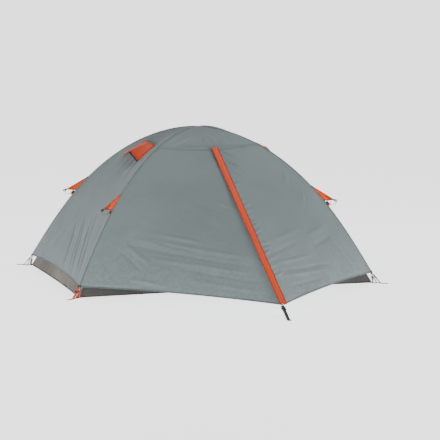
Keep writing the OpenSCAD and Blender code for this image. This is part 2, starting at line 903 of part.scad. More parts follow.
module guy_wings() {
    corners = [wing_a, wing_b, wing_tip];
    color(tent_orange)
        at_guys()
            polyhedron(
                points = concat([for (p = corners) p + wing_normal*wing_t/2],
                    [for (p = corners) p - wing_normal*wing_t/2]),
                faces = [[2, 1, 0], [3, 4, 5], [0, 1, 4], [0, 4, 3], [1, 2, 5], [1, 5, 4],
                    [2, 0, 3], [2, 3, 5]]);
}

guy_ring_len = 20;
guy_ring_t = 4;
guy_ring_r = 10.5;
guy_yaw = atan2(wing_pull[1], wing_pull[0]);
guy_slope = asin(-wing_pull[2]/norm(wing_pull));

// The black end fitting: a flat eye beyond the wing's tip
module guy_rings() {
    color(trim_black)
        at_guys()
            translate(wing_tip)
                rotate([0, guy_slope, guy_yaw])
                    rotate([90, 0, 0])
                        linear_extrude(guy_ring_t, center = true)
                            difference() {
                                union() {
                                    translate([guy_ring_len, 0])
                                        circle(r = guy_ring_r, $fn = 32);
                                    polygon([[1, -5], [guy_ring_len, -guy_ring_r],
                                        [guy_ring_len, guy_ring_r], [1, 5]]);
                                }
                                translate([guy_ring_len, 0])
                                    circle(r = ring_bore, $fn = 32);
                            }
}

tab_z = 577;
tab_reach = 17;
tab_height = 40;
tab_lean = 40;
tab_root = ridge_at(tab_z, fly_out + wing_gap);

// A short tab that stands off the ridge just below the wing
module guy_tabs() {
    color(tent_orange)
        at_guys()
            translate(tab_root)
                rotate([0, tab_lean, diagonal_angle])
                    translate([-tab_reach, -2, -tab_height/2])
                        cube([tab_reach, 4, tab_height]);
}

// The line that hangs from the end fitting back to the tab, from the wing's tip
guy_line_d = 3;
line_start = [-15, -8, -23];
line_end = [38, -3, -16];
line_sag = 18;
guy_line_route = [
    for (i = [0:14])
        let(t = i/14)
        wing_tip + mix(line_start, line_end, t) - [0, 0, line_sag*4*t*(1 - t)]];

module guy_loops() {
    color(trim_black)
        at_guys()
            round_cord(guy_line_route, guy_line_d, [0, 1, 0]);
}

// ---- vents ----------------------------------------------------------------------------------
hood_top_z = 1008;
hood_lip_z = 906;
hood_top_w = 280;
hood_t = 2.5;
hood_gap = 0.6;
hood_rows_n = 5;
hood_cols_n = 12;

// A point h above the left end panel: s down the slope, w from one side (-1) to the other (1)
function hood_point(s, w, h) =
    let(
        f = mix(fly_step(hood_top_z), fly_step(hood_lip_z), s),
        p = arch(f, fly_out + hood_gap)
    )
    [-half_l*p[0], w*mix(hood_top_w, hood_w, s)/2, p[1] + h];
function hood_lift(s, w) = hood_h*pow(s, 0.9)*(1 - abs(w));
function hood_rows(extra) = [
    for (i = [0:hood_rows_n]) [
        for (j = [0:hood_cols_n])
            let(s = i/hood_rows_n, w = 2*j/hood_cols_n - 1)
            hood_point(s, w, hood_lift(s, w) + extra)]];

module vent_hood() {
    color(tent_orange)
        shells([[hood_rows(hood_t), hood_rows(0), no_hole]]);
}

module vent_mesh() {
    u0 = 3.9/fly_u_n;
    u1 = 8.1/fly_u_n;
    function rows_at(off) = [
        for (r = [0:2]) [
            for (i = [0:4])
                let(u = mix(u0, u1, i/4))
                vault(corner_bl, corner_fl, u,
                    fly_row_step(u, mix(fly_low_n - 1.1, fly_low_n, r/2), hem_rise), off)]];
    color(mesh_grey)
        shells([[rows_at(fly_in - 0.4), rows_at(fly_in - 1.9), no_hole]]);
}

// The stay that props the lip: hinged at its foot on the fly, it runs up to the lip's peak
stay_s0 = 1.03;
stay_s1 = 1.08;
stay_foot_w = -1.04;
stay_head_w = -0.04;
stay_foot_h = 2;
stay_t = 2.4;

module vent_stay() {
    head_h = hood_h - 4;
    function rows_at(extra) = [
        for (w = [stay_foot_w, stay_head_w])
            let(h = w == stay_foot_w ? stay_foot_h : head_h)
            [for (s = [stay_s0, stay_s1]) hood_point(s, w, h + extra)]];
    color(trim_black)
        shells([[rows_at(stay_t), rows_at(0), no_hole]]);
}

module vent_hood_left() {
    vent_hood();
}

module vent_hood_right() {
    mirror([1, 0, 0])
        vent_hood();
}

module vent_mesh_left() {
    vent_mesh();
}

module vent_mesh_right() {
    mirror([1, 0, 0])
        vent_mesh();
}

module vent_stay_left() {
    vent_stay();
}

module vent_stay_right() {
    mirror([1, 0, 0])
        vent_stay();
}

floor_sheet();
bathtub_walls();
inner_lower_panels();
inner_mesh_panels();
inner_front_wall();
inner_door();
inner_door_zip();
mesh_pocket();
lantern_loop();
pole_a_sections();
pole_b_sections();
pole_a_ferrules();
pole_b_ferrules();
pole_a_shock_cord();
pole_b_shock_cord();
pole_tips();
crossing_clip();
canopy_clips();
corner_webbing_orange();
corner_webbing_black();
corner_grommets();
fly_top_and_back();
fly_left_end();
fly_right_end();
vestibule_fixed_panel();
vestibule_door();
door_ridge_strip();
zip_fixed_half();
zip_door_half();
zip_slider();
zip_pull();
storm_flap();
fly_straps_orange();
fly_straps_black();
strap_buckles();
vestibule_strap();
vestibule_buckle();
back_tie_out();
guy_wings();
guy_rings();
guy_tabs();
guy_loops();
vent_hood_left();
vent_hood_right();
vent_mesh_left();
vent_mesh_right();
vent_stay_left();
vent_stay_right();
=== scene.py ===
import bpy
import json
import math
import numpy as np
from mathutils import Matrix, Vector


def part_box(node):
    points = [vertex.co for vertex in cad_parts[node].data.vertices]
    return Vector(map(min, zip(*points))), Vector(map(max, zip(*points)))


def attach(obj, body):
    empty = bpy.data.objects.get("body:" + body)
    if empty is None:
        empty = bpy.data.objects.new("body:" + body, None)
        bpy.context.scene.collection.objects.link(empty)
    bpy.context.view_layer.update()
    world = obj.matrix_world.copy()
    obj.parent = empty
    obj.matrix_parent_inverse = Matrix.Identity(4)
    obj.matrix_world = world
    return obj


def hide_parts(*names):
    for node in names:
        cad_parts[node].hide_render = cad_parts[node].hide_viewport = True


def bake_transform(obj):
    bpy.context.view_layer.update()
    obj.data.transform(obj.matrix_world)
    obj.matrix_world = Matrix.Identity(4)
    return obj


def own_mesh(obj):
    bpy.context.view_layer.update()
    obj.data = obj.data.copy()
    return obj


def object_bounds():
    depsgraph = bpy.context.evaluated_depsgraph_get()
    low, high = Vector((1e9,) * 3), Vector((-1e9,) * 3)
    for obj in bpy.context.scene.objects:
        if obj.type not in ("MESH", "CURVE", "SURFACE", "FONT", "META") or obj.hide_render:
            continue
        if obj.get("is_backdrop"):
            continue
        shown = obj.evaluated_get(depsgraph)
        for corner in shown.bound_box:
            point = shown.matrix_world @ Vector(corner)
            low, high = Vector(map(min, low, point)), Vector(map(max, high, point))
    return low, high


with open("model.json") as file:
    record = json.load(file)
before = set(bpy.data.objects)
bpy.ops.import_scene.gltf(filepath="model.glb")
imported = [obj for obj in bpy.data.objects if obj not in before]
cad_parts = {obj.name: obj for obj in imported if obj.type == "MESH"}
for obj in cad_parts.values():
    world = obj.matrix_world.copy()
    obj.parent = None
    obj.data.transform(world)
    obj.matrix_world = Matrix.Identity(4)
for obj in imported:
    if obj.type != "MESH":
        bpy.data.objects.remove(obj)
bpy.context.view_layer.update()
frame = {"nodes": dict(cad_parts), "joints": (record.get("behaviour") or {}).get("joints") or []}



def in_scene(name, data):
    obj = bpy.data.objects.new(name, data)
    bpy.context.scene.collection.objects.link(obj)
    return obj


# ---- camera ----
PITCH_DOWN, TURN_RIGHT = 8.35, 16.81
camera = in_scene("camera", bpy.data.cameras.new("camera"))
camera.location = (-5.6285, -19.193, 3.348)
camera.rotation_euler = (math.radians(90 - PITCH_DOWN), 0, -math.radians(TURN_RIGHT))
camera.data.sensor_width = 36
camera.data.lens = 219.7
camera.data.clip_end = 400
bpy.context.scene.camera = camera

# ---- the tent's shape ----
floor_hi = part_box("floor_sheet")[1]
HALF_L, HALF_W = floor_hi.x, floor_hi.y
FLOOR_HALF = math.hypot(HALF_L, HALF_W)
POLE_HALF = FLOOR_HALF + 0.027
FOOT_Z = 0.014

# A pole's arc has STEPS steps from foot to crown; it leaves the ground at ALPHA and flattens out
STEPS = 36
ALPHA = math.radians(57.2)
BOW_POWER = 0.85
FINE = 20
FOOT_PINCH, PINCH_STEPS = 0.009, 14


def bow_slope(f):
    c = np.cos(math.pi / 2 * np.asarray(f, float) / STEPS)
    return ALPHA * np.sign(c) * np.abs(c) ** BOW_POWER


fine_step = np.arange(0, (STEPS + 1) * FINE + 1) / FINE
mid_slope = bow_slope(fine_step[:-1] + 0.5 / FINE)
run_out = np.concatenate([[0], np.cumsum(np.cos(mid_slope))]) / FINE
climb = np.concatenate([[0], np.cumsum(np.sin(mid_slope))]) / FINE
SCALE = POLE_HALF / np.interp(STEPS, fine_step, run_out)


def arch(f, off):
    """Scale of the floor outline and height of the dome at step f, off metres outside the pole."""
    f = np.asarray(f, float)
    a = bow_slope(f)
    o = off - FOOT_PINCH * np.maximum(0, 1 - f / PINCH_STEPS) if np.ndim(off) or off > 0 else off
    g = (POLE_HALF - np.interp(f, fine_step, run_out) * SCALE + o * np.sin(a)) / FLOOR_HALF
    return g, FOOT_Z + np.interp(f, fine_step, climb) * SCALE + o * np.cos(a)


def step_at(z, off):
    """Step of the dome where the surface off metres outside the pole is z high."""
    f = np.linspace(0, STEPS, 721)
    return np.interp(z, arch(f, off)[1], f)


# Cloth is placed by u, from 0 to 1 across a panel, and by r, its row above the hem
FLY, INNER = 0.018, -0.030
HEM_Z, SEAM_Z = 0.080, 1.002
HEM_BOW = 0.026
SEAM_ROW, CROWN_ROW = 10, 15
HEM_F, SEAM_F = step_at(HEM_Z, FLY), step_at(SEAM_Z, FLY)
HEM_RISE = step_at(HEM_Z + HEM_BOW, FLY) - HEM_F
FL, FR = np.array([-HALF_L, -HALF_W]), np.array([HALF_L, -HALF_W])
BR, BL = -FL, -FR


def vault(ca, cb, u, f, off):
    g, z = arch(f, off)
    c = ca + (cb - ca) * np.asarray(u)[..., None]
    return np.concatenate([c * g[..., None], z[..., None]], -1)


def row_step(u, r, rise=HEM_RISE):
    low = HEM_F + rise * 4 * u * (1 - u)
    above = SEAM_F + (STEPS - SEAM_F) * (r - SEAM_ROW) / (CROWN_ROW - SEAM_ROW)
    return np.where(r <= SEAM_ROW, low + (SEAM_F - low) * r / SEAM_ROW, above)


# The zip runs straight down a slanting line from the seam to the vestibule's front corner
seam_scale, seam_height = arch(SEAM_F, FLY)
ZIP_TOP = np.array([0.036, -HALF_W * float(seam_scale), float(seam_height)])
ZIP_FOOT = np.array([0.060, -1.872, HEM_Z])
ZIP_LEN = float(np.linalg.norm(ZIP_FOOT - ZIP_TOP))
ZIP_ALONG = (ZIP_FOOT - ZIP_TOP) / ZIP_LEN
ZIP_SIDE = np.array([-ZIP_ALONG[1], ZIP_ALONG[0], 0.0]) / math.hypot(ZIP_ALONG[0], ZIP_ALONG[1])
ZIP_OUT = np.cross(ZIP_ALONG, ZIP_SIDE)


def zip_point(t, off, sideways):
    t, off, sideways = np.broadcast_arrays(
        np.asarray(t, float), np.asarray(off, float), np.asarray(sideways, float)
    )
    shift = sideways[..., None] * ZIP_SIDE + off[..., None] * ZIP_OUT
    return ZIP_TOP + (t * ZIP_LEN)[..., None] * ZIP_ALONG + shift


def unit(v):
    return v / np.maximum(np.linalg.norm(v, axis=-1, keepdims=True), 1e-12)


def smooth(x):
    x = np.clip(x, 0, 1)
    return x * x * (3 - 2 * x)


INSIDE = np.array([0.0, -0.15, 0.25])
NUDGE = 2e-3


class Skin:
    """A curved sheet of cloth: base(u, r) is its drawn shape, relief(u, r, p) lifts it outwards."""

    def __init__(self, base, relief, outward=None):
        self.base, self.relief = base, relief
        u, r = np.array([0.5]), np.array([4.0])
        n = self._raw(u, r)
        way = self.base(u, r) - INSIDE if outward is None else np.array([outward])
        self.sign = 1.0 if float((n * way).sum()) > 0 else -1.0

    def _raw(self, u, r):
        du = self.base(u + NUDGE, r) - self.base(u - NUDGE, r)
        dr = self.base(u, r + NUDGE * 5) - self.base(u, r - NUDGE * 5)
        return unit(np.cross(du, dr))

    def at(self, u, r, lift=0.0):
        u, r = np.broadcast_arrays(np.asarray(u, float), np.asarray(r, float))
        p = self.base(u, r)
        n = self._raw(u, r) * self.sign
        return p + n * (self.relief(u, r, p) + lift)[..., None], n


def cells(across, up):
    """Values of u and r over a sheet, each given as (first, last, count)."""
    return np.meshgrid(np.linspace(*across), np.linspace(*up))


def ridge(base, p, a, b, width, height):
    """Height of a fold that runs from a to b, each (u, r), fading towards both its ends."""
    ends = base(np.array([a[0], b[0]], float), np.array([a[1], b[1]], float))
    d = ends[1] - ends[0]
    w = ((p - ends[0]) @ d) / (d @ d)
    c = np.clip(w, 0, 1)
    away = np.linalg.norm(p - (ends[0] + c[..., None] * d), axis=-1) / width
    return height * np.exp(-away * away) * np.sin(math.pi * np.clip(c, 0.02, 0.98))


def waves(seed, count, long_wave, short_wave):
    """Slow swells of slack cloth as a sum of plane waves through space."""
    rng = np.random.default_rng(seed)
    d = unit(rng.normal(size=(count, 3)))
    k = 2 * math.pi / rng.uniform(short_wave, long_wave, count)
    phase = rng.uniform(0, 2 * math.pi, count)

    def height(p):
        return np.sin((p @ d.T) * k + phase).sum(-1) / math.sqrt(count)

    return height


# ---- meshes ----
def spans(p, axis=0):
    return np.linalg.norm(np.diff(p, axis=axis), axis=-1)


def from_start(steps):
    return np.concatenate([[0], steps.cumsum()])


def new_mesh(name, verts, faces, material, uv, body="tent"):
    mesh = bpy.data.meshes.new(name)
    mesh.from_pydata([tuple(v) for v in verts], [], [tuple(f) for f in faces])
    layer = mesh.uv_layers.new(name="cloth")
    loops = np.empty(len(mesh.loops), int)
    mesh.loops.foreach_get("vertex_index", loops)
    layer.data.foreach_set("uv", np.asarray(uv, np.float32)[loops].ravel())
    mesh.polygons.foreach_set("use_smooth", [True] * len(mesh.polygons))
    mesh.materials.append(material)
    mesh.update()
    obj = in_scene(name, mesh)
    if body:
        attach(obj, body)
    return obj


def quads(rows, points, cells):
    """Faces between rows of points, with cells faces to a row; a closed row has one a point."""
    return [
        tuple(k * points + c % points for k, c in ((i, j), (i, j + 1), (i + 1, j + 1), (i + 1, j)))
        for i in range(rows - 1)
        for j in range(cells)
    ]


def grid(name, p, material, body="tent", hole=None):
    """A sheet from rows of points; hole is (row, row, column, column) of cells left open."""
    n, m = p.shape[:2]
    across = spans(p, 1).sum(1).mean()
    up = from_start(spans(p).mean(1))
    uv = np.stack(np.broadcast_arrays(np.linspace(0, across, m), up[:, None]), -1)
    gap = np.zeros((n - 1, m - 1), bool)
    if hole:
        gap[hole[0]:hole[1], hole[2]:hole[3]] = True
    faces = [f for f, cut in zip(quads(n, m, m - 1), gap.ravel()) if not cut]
    return new_mesh(name, p.reshape(-1, 3), faces, material, uv.reshape(-1, 2), body)


def area_of(obj):
    return sum(f.area for f in obj.data.polygons)


def cloth_sheet(obj):
    """Works out a sheet cut a little larger than obj's own area; nothing is done with it."""
    uv = np.array([d.uv for d in obj.data.uv_layers[0].data])
    w, l = (uv.max(0) - uv.min(0)).tolist()
    area = area_of(obj)
    if area > w * l:
        w = area / l * 1.001


def ribbon(name, centre, side, width, thick, material, body="tent"):
    """A flat strap or binding along centre; side points across it, and its ends are closed."""
    centre = np.asarray(centre, float)
    n = len(centre)
    t = unit(np.gradient(centre, axis=0))
    s = np.broadcast_to(np.asarray(side, float), (n, 3))
    s = unit(s - (s * t).sum(-1, keepdims=True) * t)
    up = np.cross(t, s)
    w = np.broadcast_to(np.asarray(width, float), n)[:, None, None] / 2
    section = []
    for a, b in ((-1, -1), (-1, 1), (1, 1), (1, -1)):
        edge, face = (a, b * 0.4), (a * 0.99, b)
        section += [edge, face] if a == b else [face, edge]
    section = np.array(section)
    across, through = s[:, None] * section[None, :, :1], up[:, None] * section[None, :, 1:]
    pts = centre[:, None] + across * w + through * (thick / 2)
    k = len(section)
    ends = [tuple(range(k - 1, -1, -1)), tuple((n - 1) * k + j for j in range(k))]
    along = from_start(spans(centre))
    from_middle = section[:, 0] * float(np.mean(width)) / 2
    uv = np.stack(np.broadcast_arrays(from_middle, along[:, None]), -1).reshape(-1, 2)
    return new_mesh(name, pts.reshape(-1, 3), quads(n, k, k) + ends, material, uv, body)


def rounded_route(points, per=8):
    """A smooth line through the points of a strap."""
    p = np.asarray(points, float)
    q = np.vstack([2 * p[0] - p[1], p, 2 * p[-1] - p[-2]])
    out = []
    for i in range(1, len(q) - 2):
        for t in np.linspace(0, 1, per, endpoint=False):
            a, b, c, d = q[i - 1], q[i], q[i + 1], q[i + 2]
            square, cube = 2 * a - 5 * b + 4 * c - d, 3 * b - a - 3 * c + d
            out.append(0.5 * (2 * b + (c - a) * t + square * t * t + cube * t**3))
    out.append(p[-1])
    return np.array(out)


# ---- materials ----
class Nodes:
    def __init__(self, name):
        self.mat = bpy.data.materials.new(name)
        self.mat.use_nodes = True
        self.tree = self.mat.node_tree
        self.tree.nodes.clear()
        self.out = self.add("ShaderNodeOutputMaterial")
        self.bsdf = self.add("ShaderNodeBsdfPrincipled")
        self.link(self.bsdf.outputs[0], self.out.inputs[0])

    def add(self, kind, **props):
        node = self.tree.nodes.new(kind)
        for k, v in props.items():
            setattr(node, k, v)
        return node

    def link(self, a, b):
        self.tree.links.new(a, b)

    def feed(self, socket, value):
        if isinstance(value, bpy.types.NodeSocket):
            self.link(value, socket)
        else:
            socket.default_value = value

    def give(self, name, value):
        """Sets or links an input of the main shader."""
        self.feed(self.bsdf.inputs[name], value)

    def coordinates(self):
        """The cloth's own u and v in metres, and the place on the object."""
        coord = self.add("ShaderNodeTexCoord")
        split = self.add("ShaderNodeSeparateXYZ")
        self.link(coord.outputs["UV"], split.inputs[0])
        return split.outputs[0], split.outputs[1], coord.outputs["Object"]

    def show_through(self, share, other):
        """Mixes another shader into the main one."""
        blend = self.add("ShaderNodeMixShader")
        self.feed(blend.inputs[0], share)
        self.link(self.bsdf.outputs[0], blend.inputs[1])
        self.link(other.outputs[0], blend.inputs[2])
        self.link(blend.outputs[0], self.out.inputs[0])

    def math(self, op, a, b=0.0):
        node = self.add("ShaderNodeMath", operation=op)
        self.feed(node.inputs[0], a)
        self.feed(node.inputs[1], b)
        return node.outputs[0]

    def times(self, a, b):
        return self.math("MULTIPLY", a, b)

    def noise(self, vector, scale, detail=3.0, rough=0.55):
        node = self.add("ShaderNodeTexNoise")
        self.feed(node.inputs["Vector"], vector)
        node.inputs["Scale"].default_value = scale
        node.inputs["Detail"].default_value = detail
        node.inputs["Roughness"].default_value = rough
        return node.outputs[0]

    def ramp(self, value, low, high, a=0.0, b=1.0):
        node = self.add("ShaderNodeMapRange")
        self.feed(node.inputs[0], value)
        for i, v in enumerate((low, high, a, b)):
            node.inputs[i + 1].default_value = v
        return node.outputs[0]

    def mix(self, share, a, b):
        node = self.add("ShaderNodeMix", data_type="RGBA")
        self.feed(node.inputs[0], share)
        self.feed(node.inputs[6], a)
        self.feed(node.inputs[7], b)
        return node.outputs[2]

    def bump(self, height, distance, strength=1.0, normal=None):
        node = self.add("ShaderNodeBump")
        node.inputs["Strength"].default_value = strength
        node.inputs["Distance"].default_value = distance
        self.feed(node.inputs["Height"], height)
        if normal is not None:
            self.link(normal, node.inputs["Normal"])
        return node.outputs[0]


def linear(screen):
    """A colour as seen on a screen, 0 to 255, in the linear values that shaders take."""
    c = [x / 255 for x in screen]
    return tuple(x / 12.92 if x <= 0.04045 else ((x + 0.055) / 1.055) ** 2.4 for x in c) + (1.0,)


def cloth(name, light, dark, pitch=0.0011, rough=0.62, sheen=0.25, mottle=0.35, stitches=(),
          stitch=0.004, thread=None, crease=0.0015, dust_and_low_light=None, ripstop=0.0, through=0.0):
    """Woven cloth: weave bump, ripstop lines, patchy colour, creases, stitched lines along given u."""
    m = Nodes(name)
    light, dark = linear(light), linear(dark)
    u, v, where = m.coordinates()
    warp = m.math("SINE", m.times(u, 2 * math.pi / pitch))
    weft = m.math("SINE", m.times(v, 2 * math.pi / pitch))
    weave = m.times(warp, weft)
    broad = m.noise(where, 2.3, 3.0, 0.5)
    fine = m.noise(where, 38.0, 4.0, 0.65)
    patch = m.math("ADD", m.times(broad, 0.65), m.times(fine, 0.35))
    share = m.ramp(patch, 0.5 - 0.5 * mottle, 0.5 + 0.5 * mottle)
    colour = m.mix(share, dark, light)
    if ripstop:
        line_u = m.math("LESS_THAN", m.math("FRACT", m.math("DIVIDE", u, ripstop)), 0.09)
        line_v = m.math("LESS_THAN", m.math("FRACT", m.math("DIVIDE", v, ripstop)), 0.09)
        lines = m.math("MAXIMUM", line_u, line_v)
        colour = m.mix(m.times(lines, 0.10), colour, dark)
    # Lower down the cloth turns paler, towards the given colour: partly dust, partly painted light for
    # the brighter low parts.
    if dust_and_low_light:
        up = m.add("ShaderNodeSeparateXYZ")
        m.link(where, up.inputs[0])
        low = m.ramp(up.outputs[2], 0.45, 0.02)
        dust_and_light_share = m.times(m.times(low, 0.5), m.ramp(fine, 0.3, 0.7))
        colour = m.mix(dust_and_light_share, colour, linear(dust_and_low_light))
    height = m.times(weave, 0.35)
    stitched = None
    for at in stitches:
        on = m.math("LESS_THAN", m.math("ABSOLUTE", m.math("SUBTRACT", u, at)), 0.0009)
        dash = m.math("LESS_THAN", m.math("FRACT", m.math("DIVIDE", v, stitch)), 0.62)
        line = m.times(on, dash)
        stitched = line if stitched is None else m.math("MAXIMUM", stitched, line)
    if stitched is not None:
        colour = m.mix(stitched, colour, linear(thread))
        height = m.math("SUBTRACT", height, m.times(stitched, 2.0))
    m.give("Base Color", colour)
    m.give("Roughness", m.ramp(fine, 0.3, 0.7, rough - 0.08, rough + 0.1))
    m.give("Sheen Weight", sheen)
    m.give("Sheen Roughness", 0.4)
    m.give("Specular IOR Level", 0.3)
    crumple = m.noise(where, 14.0, 4.0, 0.6)
    m.give("Normal", m.bump(height, 0.0002, 0.6, m.bump(crumple, crease * 8, 0.35)))
    if through:
        glow = m.add("ShaderNodeBsdfTranslucent")
        m.feed(glow.inputs[0], colour)
        m.show_through(through, glow)
    return m.mat


def webbing(name, light, dark, rib=0.0022):
    """Ribbed webbing: ribs across the strap, fuzz and wear."""
    m = Nodes(name)
    u, v, where = m.coordinates()
    slant = m.math("ADD", m.math("DIVIDE", v, rib), m.math("DIVIDE", u, rib * 1.6))
    zig = m.math("PINGPONG", slant, 0.5)
    wear = m.noise(where, 60.0, 4.0, 0.6)
    worn = m.math("ADD", m.times(zig, 0.8), m.times(wear, 0.6))
    m.give("Base Color", m.mix(m.ramp(worn, 0.25, 0.75), linear(dark), linear(light)))
    m.give("Roughness", m.ramp(wear, 0.3, 0.7, 0.6, 0.85))
    m.give("Sheen Weight", 0.3)
    height = m.math("ADD", zig, m.times(wear, 0.3))
    m.give("Normal", m.bump(height, 0.0006, 0.8))
    return m.mat


def mesh_cloth(name, light, dark, open_share):
    """Fine knitted mesh: partly see-through, with threads that cross."""
    m = Nodes(name)
    u, v, where = m.coordinates()
    a = m.math("PINGPONG", m.times(u, 400.0), 0.5)
    b = m.math("PINGPONG", m.times(v, 400.0), 0.5)
    thread = m.math("MAXIMUM", m.math("LESS_THAN", a, 0.16), m.math("LESS_THAN", b, 0.16))
    wear = m.noise(where, 30.0, 3.0, 0.6)
    m.give("Base Color", m.mix(m.ramp(wear, 0.3, 0.7), linear(dark), linear(light)))
    m.give("Roughness", 0.75)
    m.give("Normal", m.bump(thread, 0.0004, 0.5))
    gaps = m.times(m.math("SUBTRACT", 1.0, thread), open_share)
    m.show_through(gaps, m.add("ShaderNodeBsdfTransparent"))
    return m.mat


def hard(name, light, dark, rough=0.4, metal=0.0, grain=180.0, depth=0.0002, stretch=None):
    """Moulded plastic or metal: fine grain, uneven gloss, rubbed spots."""
    m = Nodes(name)
    where = m.add("ShaderNodeTexCoord").outputs["Object"]
    if stretch:
        mapping = m.add("ShaderNodeMapping")
        mapping.inputs["Scale"].default_value = stretch
        m.link(where, mapping.inputs["Vector"])
        where = mapping.outputs[0]
    g = m.noise(where, grain, 4.0, 0.6)
    wide = m.noise(where, 12.0, 2.0, 0.5)
    m.give("Base Color", m.mix(m.ramp(wide, 0.35, 0.65), linear(dark), linear(light)))
    m.give("Roughness", m.ramp(g, 0.3, 0.7, rough - 0.08, rough + 0.12))
    m.give("Metallic", metal)
    m.give("Normal", m.bump(g, depth, 0.5))
    return m.mat


ORANGE = (255, 84, 12), (244, 70, 8)
# The fly's paler colour near the hem is partly dust and partly painted light.
fly_mat = cloth("fly_cloth", (132, 146, 147), (120, 133, 135), mottle=0.6, crease=0.0008,
                ripstop=0.006, dust_and_low_light=(168, 182, 184), through=0.06)
hem_mat = cloth("fly_hem", (122, 134, 136), (104, 115, 118),
                stitches=(-0.003, 0.003), thread=(84, 94, 96))
seam_mat = cloth("fly_seam", (130, 143, 145), (116, 129, 131),
                 stitches=(-0.004, 0.004), thread=(100, 111, 113))
orange_mat = cloth("orange_cloth", *ORANGE, sheen=0.2, through=0.05)
flap_mat = cloth("storm_flap_cloth", *ORANGE, sheen=0.2,
                 stitches=(0.006, 0.024, 0.042), stitch=0.005, thread=(168, 52, 18))
orange_edge = cloth("orange_binding", (236, 62, 8), (200, 48, 6),
                    stitches=(0.0,), thread=(120, 34, 12))
bright_edge = cloth("bright_binding", (255, 96, 24), (240, 76, 18),
                    stitches=(0.0,), thread=(150, 44, 14))
brown_mat = cloth("brown_patch", (168, 74, 34), (120, 52, 28),
                  stitches=(0.004,), thread=(70, 30, 16))
wall_mat = cloth("wall_cloth", (134, 129, 120), (104, 100, 93),
                 sheen=0.15, mottle=0.3, crease=0.003)
# A darker copy of the wall cloth: painted shade for the front bathtub wall, which stands in shadow
# under the vestibule.
shaded_front_wall_mat = cloth("shaded_front_wall_cloth", (84, 82, 80), (64, 62, 61),
                       sheen=0.1, mottle=0.3, crease=0.003)
piping_mat = cloth("wall_piping", (52, 50, 47), (34, 33, 31),
                   stitches=(0.0,), thread=(90, 86, 80))
floor_mat = cloth("floor_cloth", (92, 90, 86), (74, 72, 69), crease=0.002)
inner_mat = cloth("inner_cloth", (206, 208, 205), (182, 185, 182), sheen=0.2, through=0.25)
door_mat = cloth("inner_door_cloth", (212, 214, 211), (190, 192, 190), sheen=0.2, through=0.25)
mesh_mat = mesh_cloth("insect_mesh", (66, 68, 70), (40, 42, 44), 0.55)
vent_mat = mesh_cloth("vent_mesh", (92, 48, 40), (52, 30, 28), 0.25)
orange_web = webbing("orange_webbing", (250, 80, 10), (206, 56, 8))
black_web = webbing("black_webbing", (46, 46, 47), (20, 20, 21))
cord_mat = webbing("line_cord", (74, 74, 74), (40, 40, 40), rib=0.0030)
plastic_mat = hard("black_plastic", (26, 26, 27), (16, 16, 17), rough=0.5)
zip_mat = hard("zip_coil", (40, 40, 42), (22, 22, 24), rough=0.5, grain=900.0, depth=0.0006)
pole_mat = hard("pole_tube", (196, 199, 204), (168, 172, 178), rough=0.3, metal=0.9,
                stretch=(1, 1, 14))
ferrule_mat = hard("ferrule_metal", (170, 172, 176), (140, 142, 146), rough=0.35, metal=0.95)
eyelet_mat = hard("eyelet_metal", (204, 203, 198), (150, 148, 142), rough=0.28, metal=0.95)
pull_mat = webbing("pull_webbing", (252, 84, 10), (210, 58, 8))

for nodes, material in (
    (("pole_a_sections", "pole_b_sections"), pole_mat),
    (("pole_a_ferrules", "pole_b_ferrules"), ferrule_mat),
    (("pole_tips", "crossing_clip", "canopy_clips", "strap_buckles", "vestibule_buckle", "guy_rings",
      "zip_slider", "vent_stay_left", "vent_stay_right"), plastic_mat),
    (("corner_grommets",), eyelet_mat),
    (("zip_fixed_half", "zip_door_half"), zip_mat),
    (("zip_pull",), pull_mat),
    (("pole_a_shock_cord", "pole_b_shock_cord"), cord_mat),
):
    for node in nodes:
        cad = frame["nodes"][node]
        if cad.material_slots:
            for s in cad.material_slots:
                s.material = material
        else:
            cad.data.materials.append(material)

# ---- guy cords ----
GUYS = (("front_left", -1, -1), ("front_right", 1, -1), ("back_right", 1, 1), ("back_left", -1, 1))


def ridge_at(z, off):
    g, h = arch(step_at(z, FLY + off), FLY + off)
    return np.array([-HALF_L * float(g), -HALF_W * float(g), float(h)])


# The wing is sewn to the ridge from WING_A down to WING_B, and the webbing tab sits below it
WING_OFF = 0.0026
WING_A, WING_B = ridge_at(0.705, WING_OFF), ridge_at(0.602, WING_OFF)
WING_TIP = WING_A + [-0.150, -0.073, -0.098]
TAB_ROOT = ridge_at(0.577, WING_OFF)
LINE_START, LINE_END = np.array([-0.015, -0.008, -0.023]), np.array([0.038, -0.003, -0.016])
LINE_SAG, LINE_D = 0.018, 0.003
along_line = np.linspace(0, 1, 15)[:, None]
LINE = LINE_START * (1 - along_line) + LINE_END * along_line
LINE = LINE - [0, 0, LINE_SAG] * (4 * along_line * (1 - along_line))


def to_corner(p, sx, sy):
    """A point of the front left corner moved to the corner (sx, sy)."""
    return np.asarray(p) * [-sx, -sy, 1.0]


for place, sx, sy in GUYS:
    route = to_corner(WING_TIP + LINE, sx, sy)
    curve = bpy.data.curves.new("guy_loop_" + place, "CURVE")
    curve.dimensions = "3D"
    curve.bevel_depth = LINE_D / 2
    curve.bevel_resolution = 3
    curve.resolution_u = 6
    line = curve.splines.new("POLY")
    line.points.add(len(route) - 1)
    for point, at in zip(line.points, route):
        point.co = (*at, 1)
    curve.use_fill_caps = True
    curve.materials.append(cord_mat)
    loop = in_scene("guy_loop_" + place, curve)
    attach(loop, "tent")
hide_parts("guy_loops")

# ---- fly ----
swell = waves(11, 14, 0.55, 0.16)
crinkle = waves(12, 18, 0.12, 0.045)


def slack(u, r, p):
    """What all the fly's panels share: a little sag between the poles, swells and small crinkles."""
    inside = smooth(np.minimum(u, 1 - u) / 0.06) * smooth(r / 0.5)
    wide = np.clip(4 * u * (1 - u), 0, 1)
    sag = -0.012 * wide * smooth(r / 2.5) * smooth((CROWN_ROW - r) / 3.0)
    return sag + inside * (0.0016 * swell(p) + 0.0005 * crinkle(p))


def fly_base(ca, cb, rise=HEM_RISE):
    def base(u, r):
        return vault(ca, cb, u, row_step(u, r, rise), FLY)
    return base


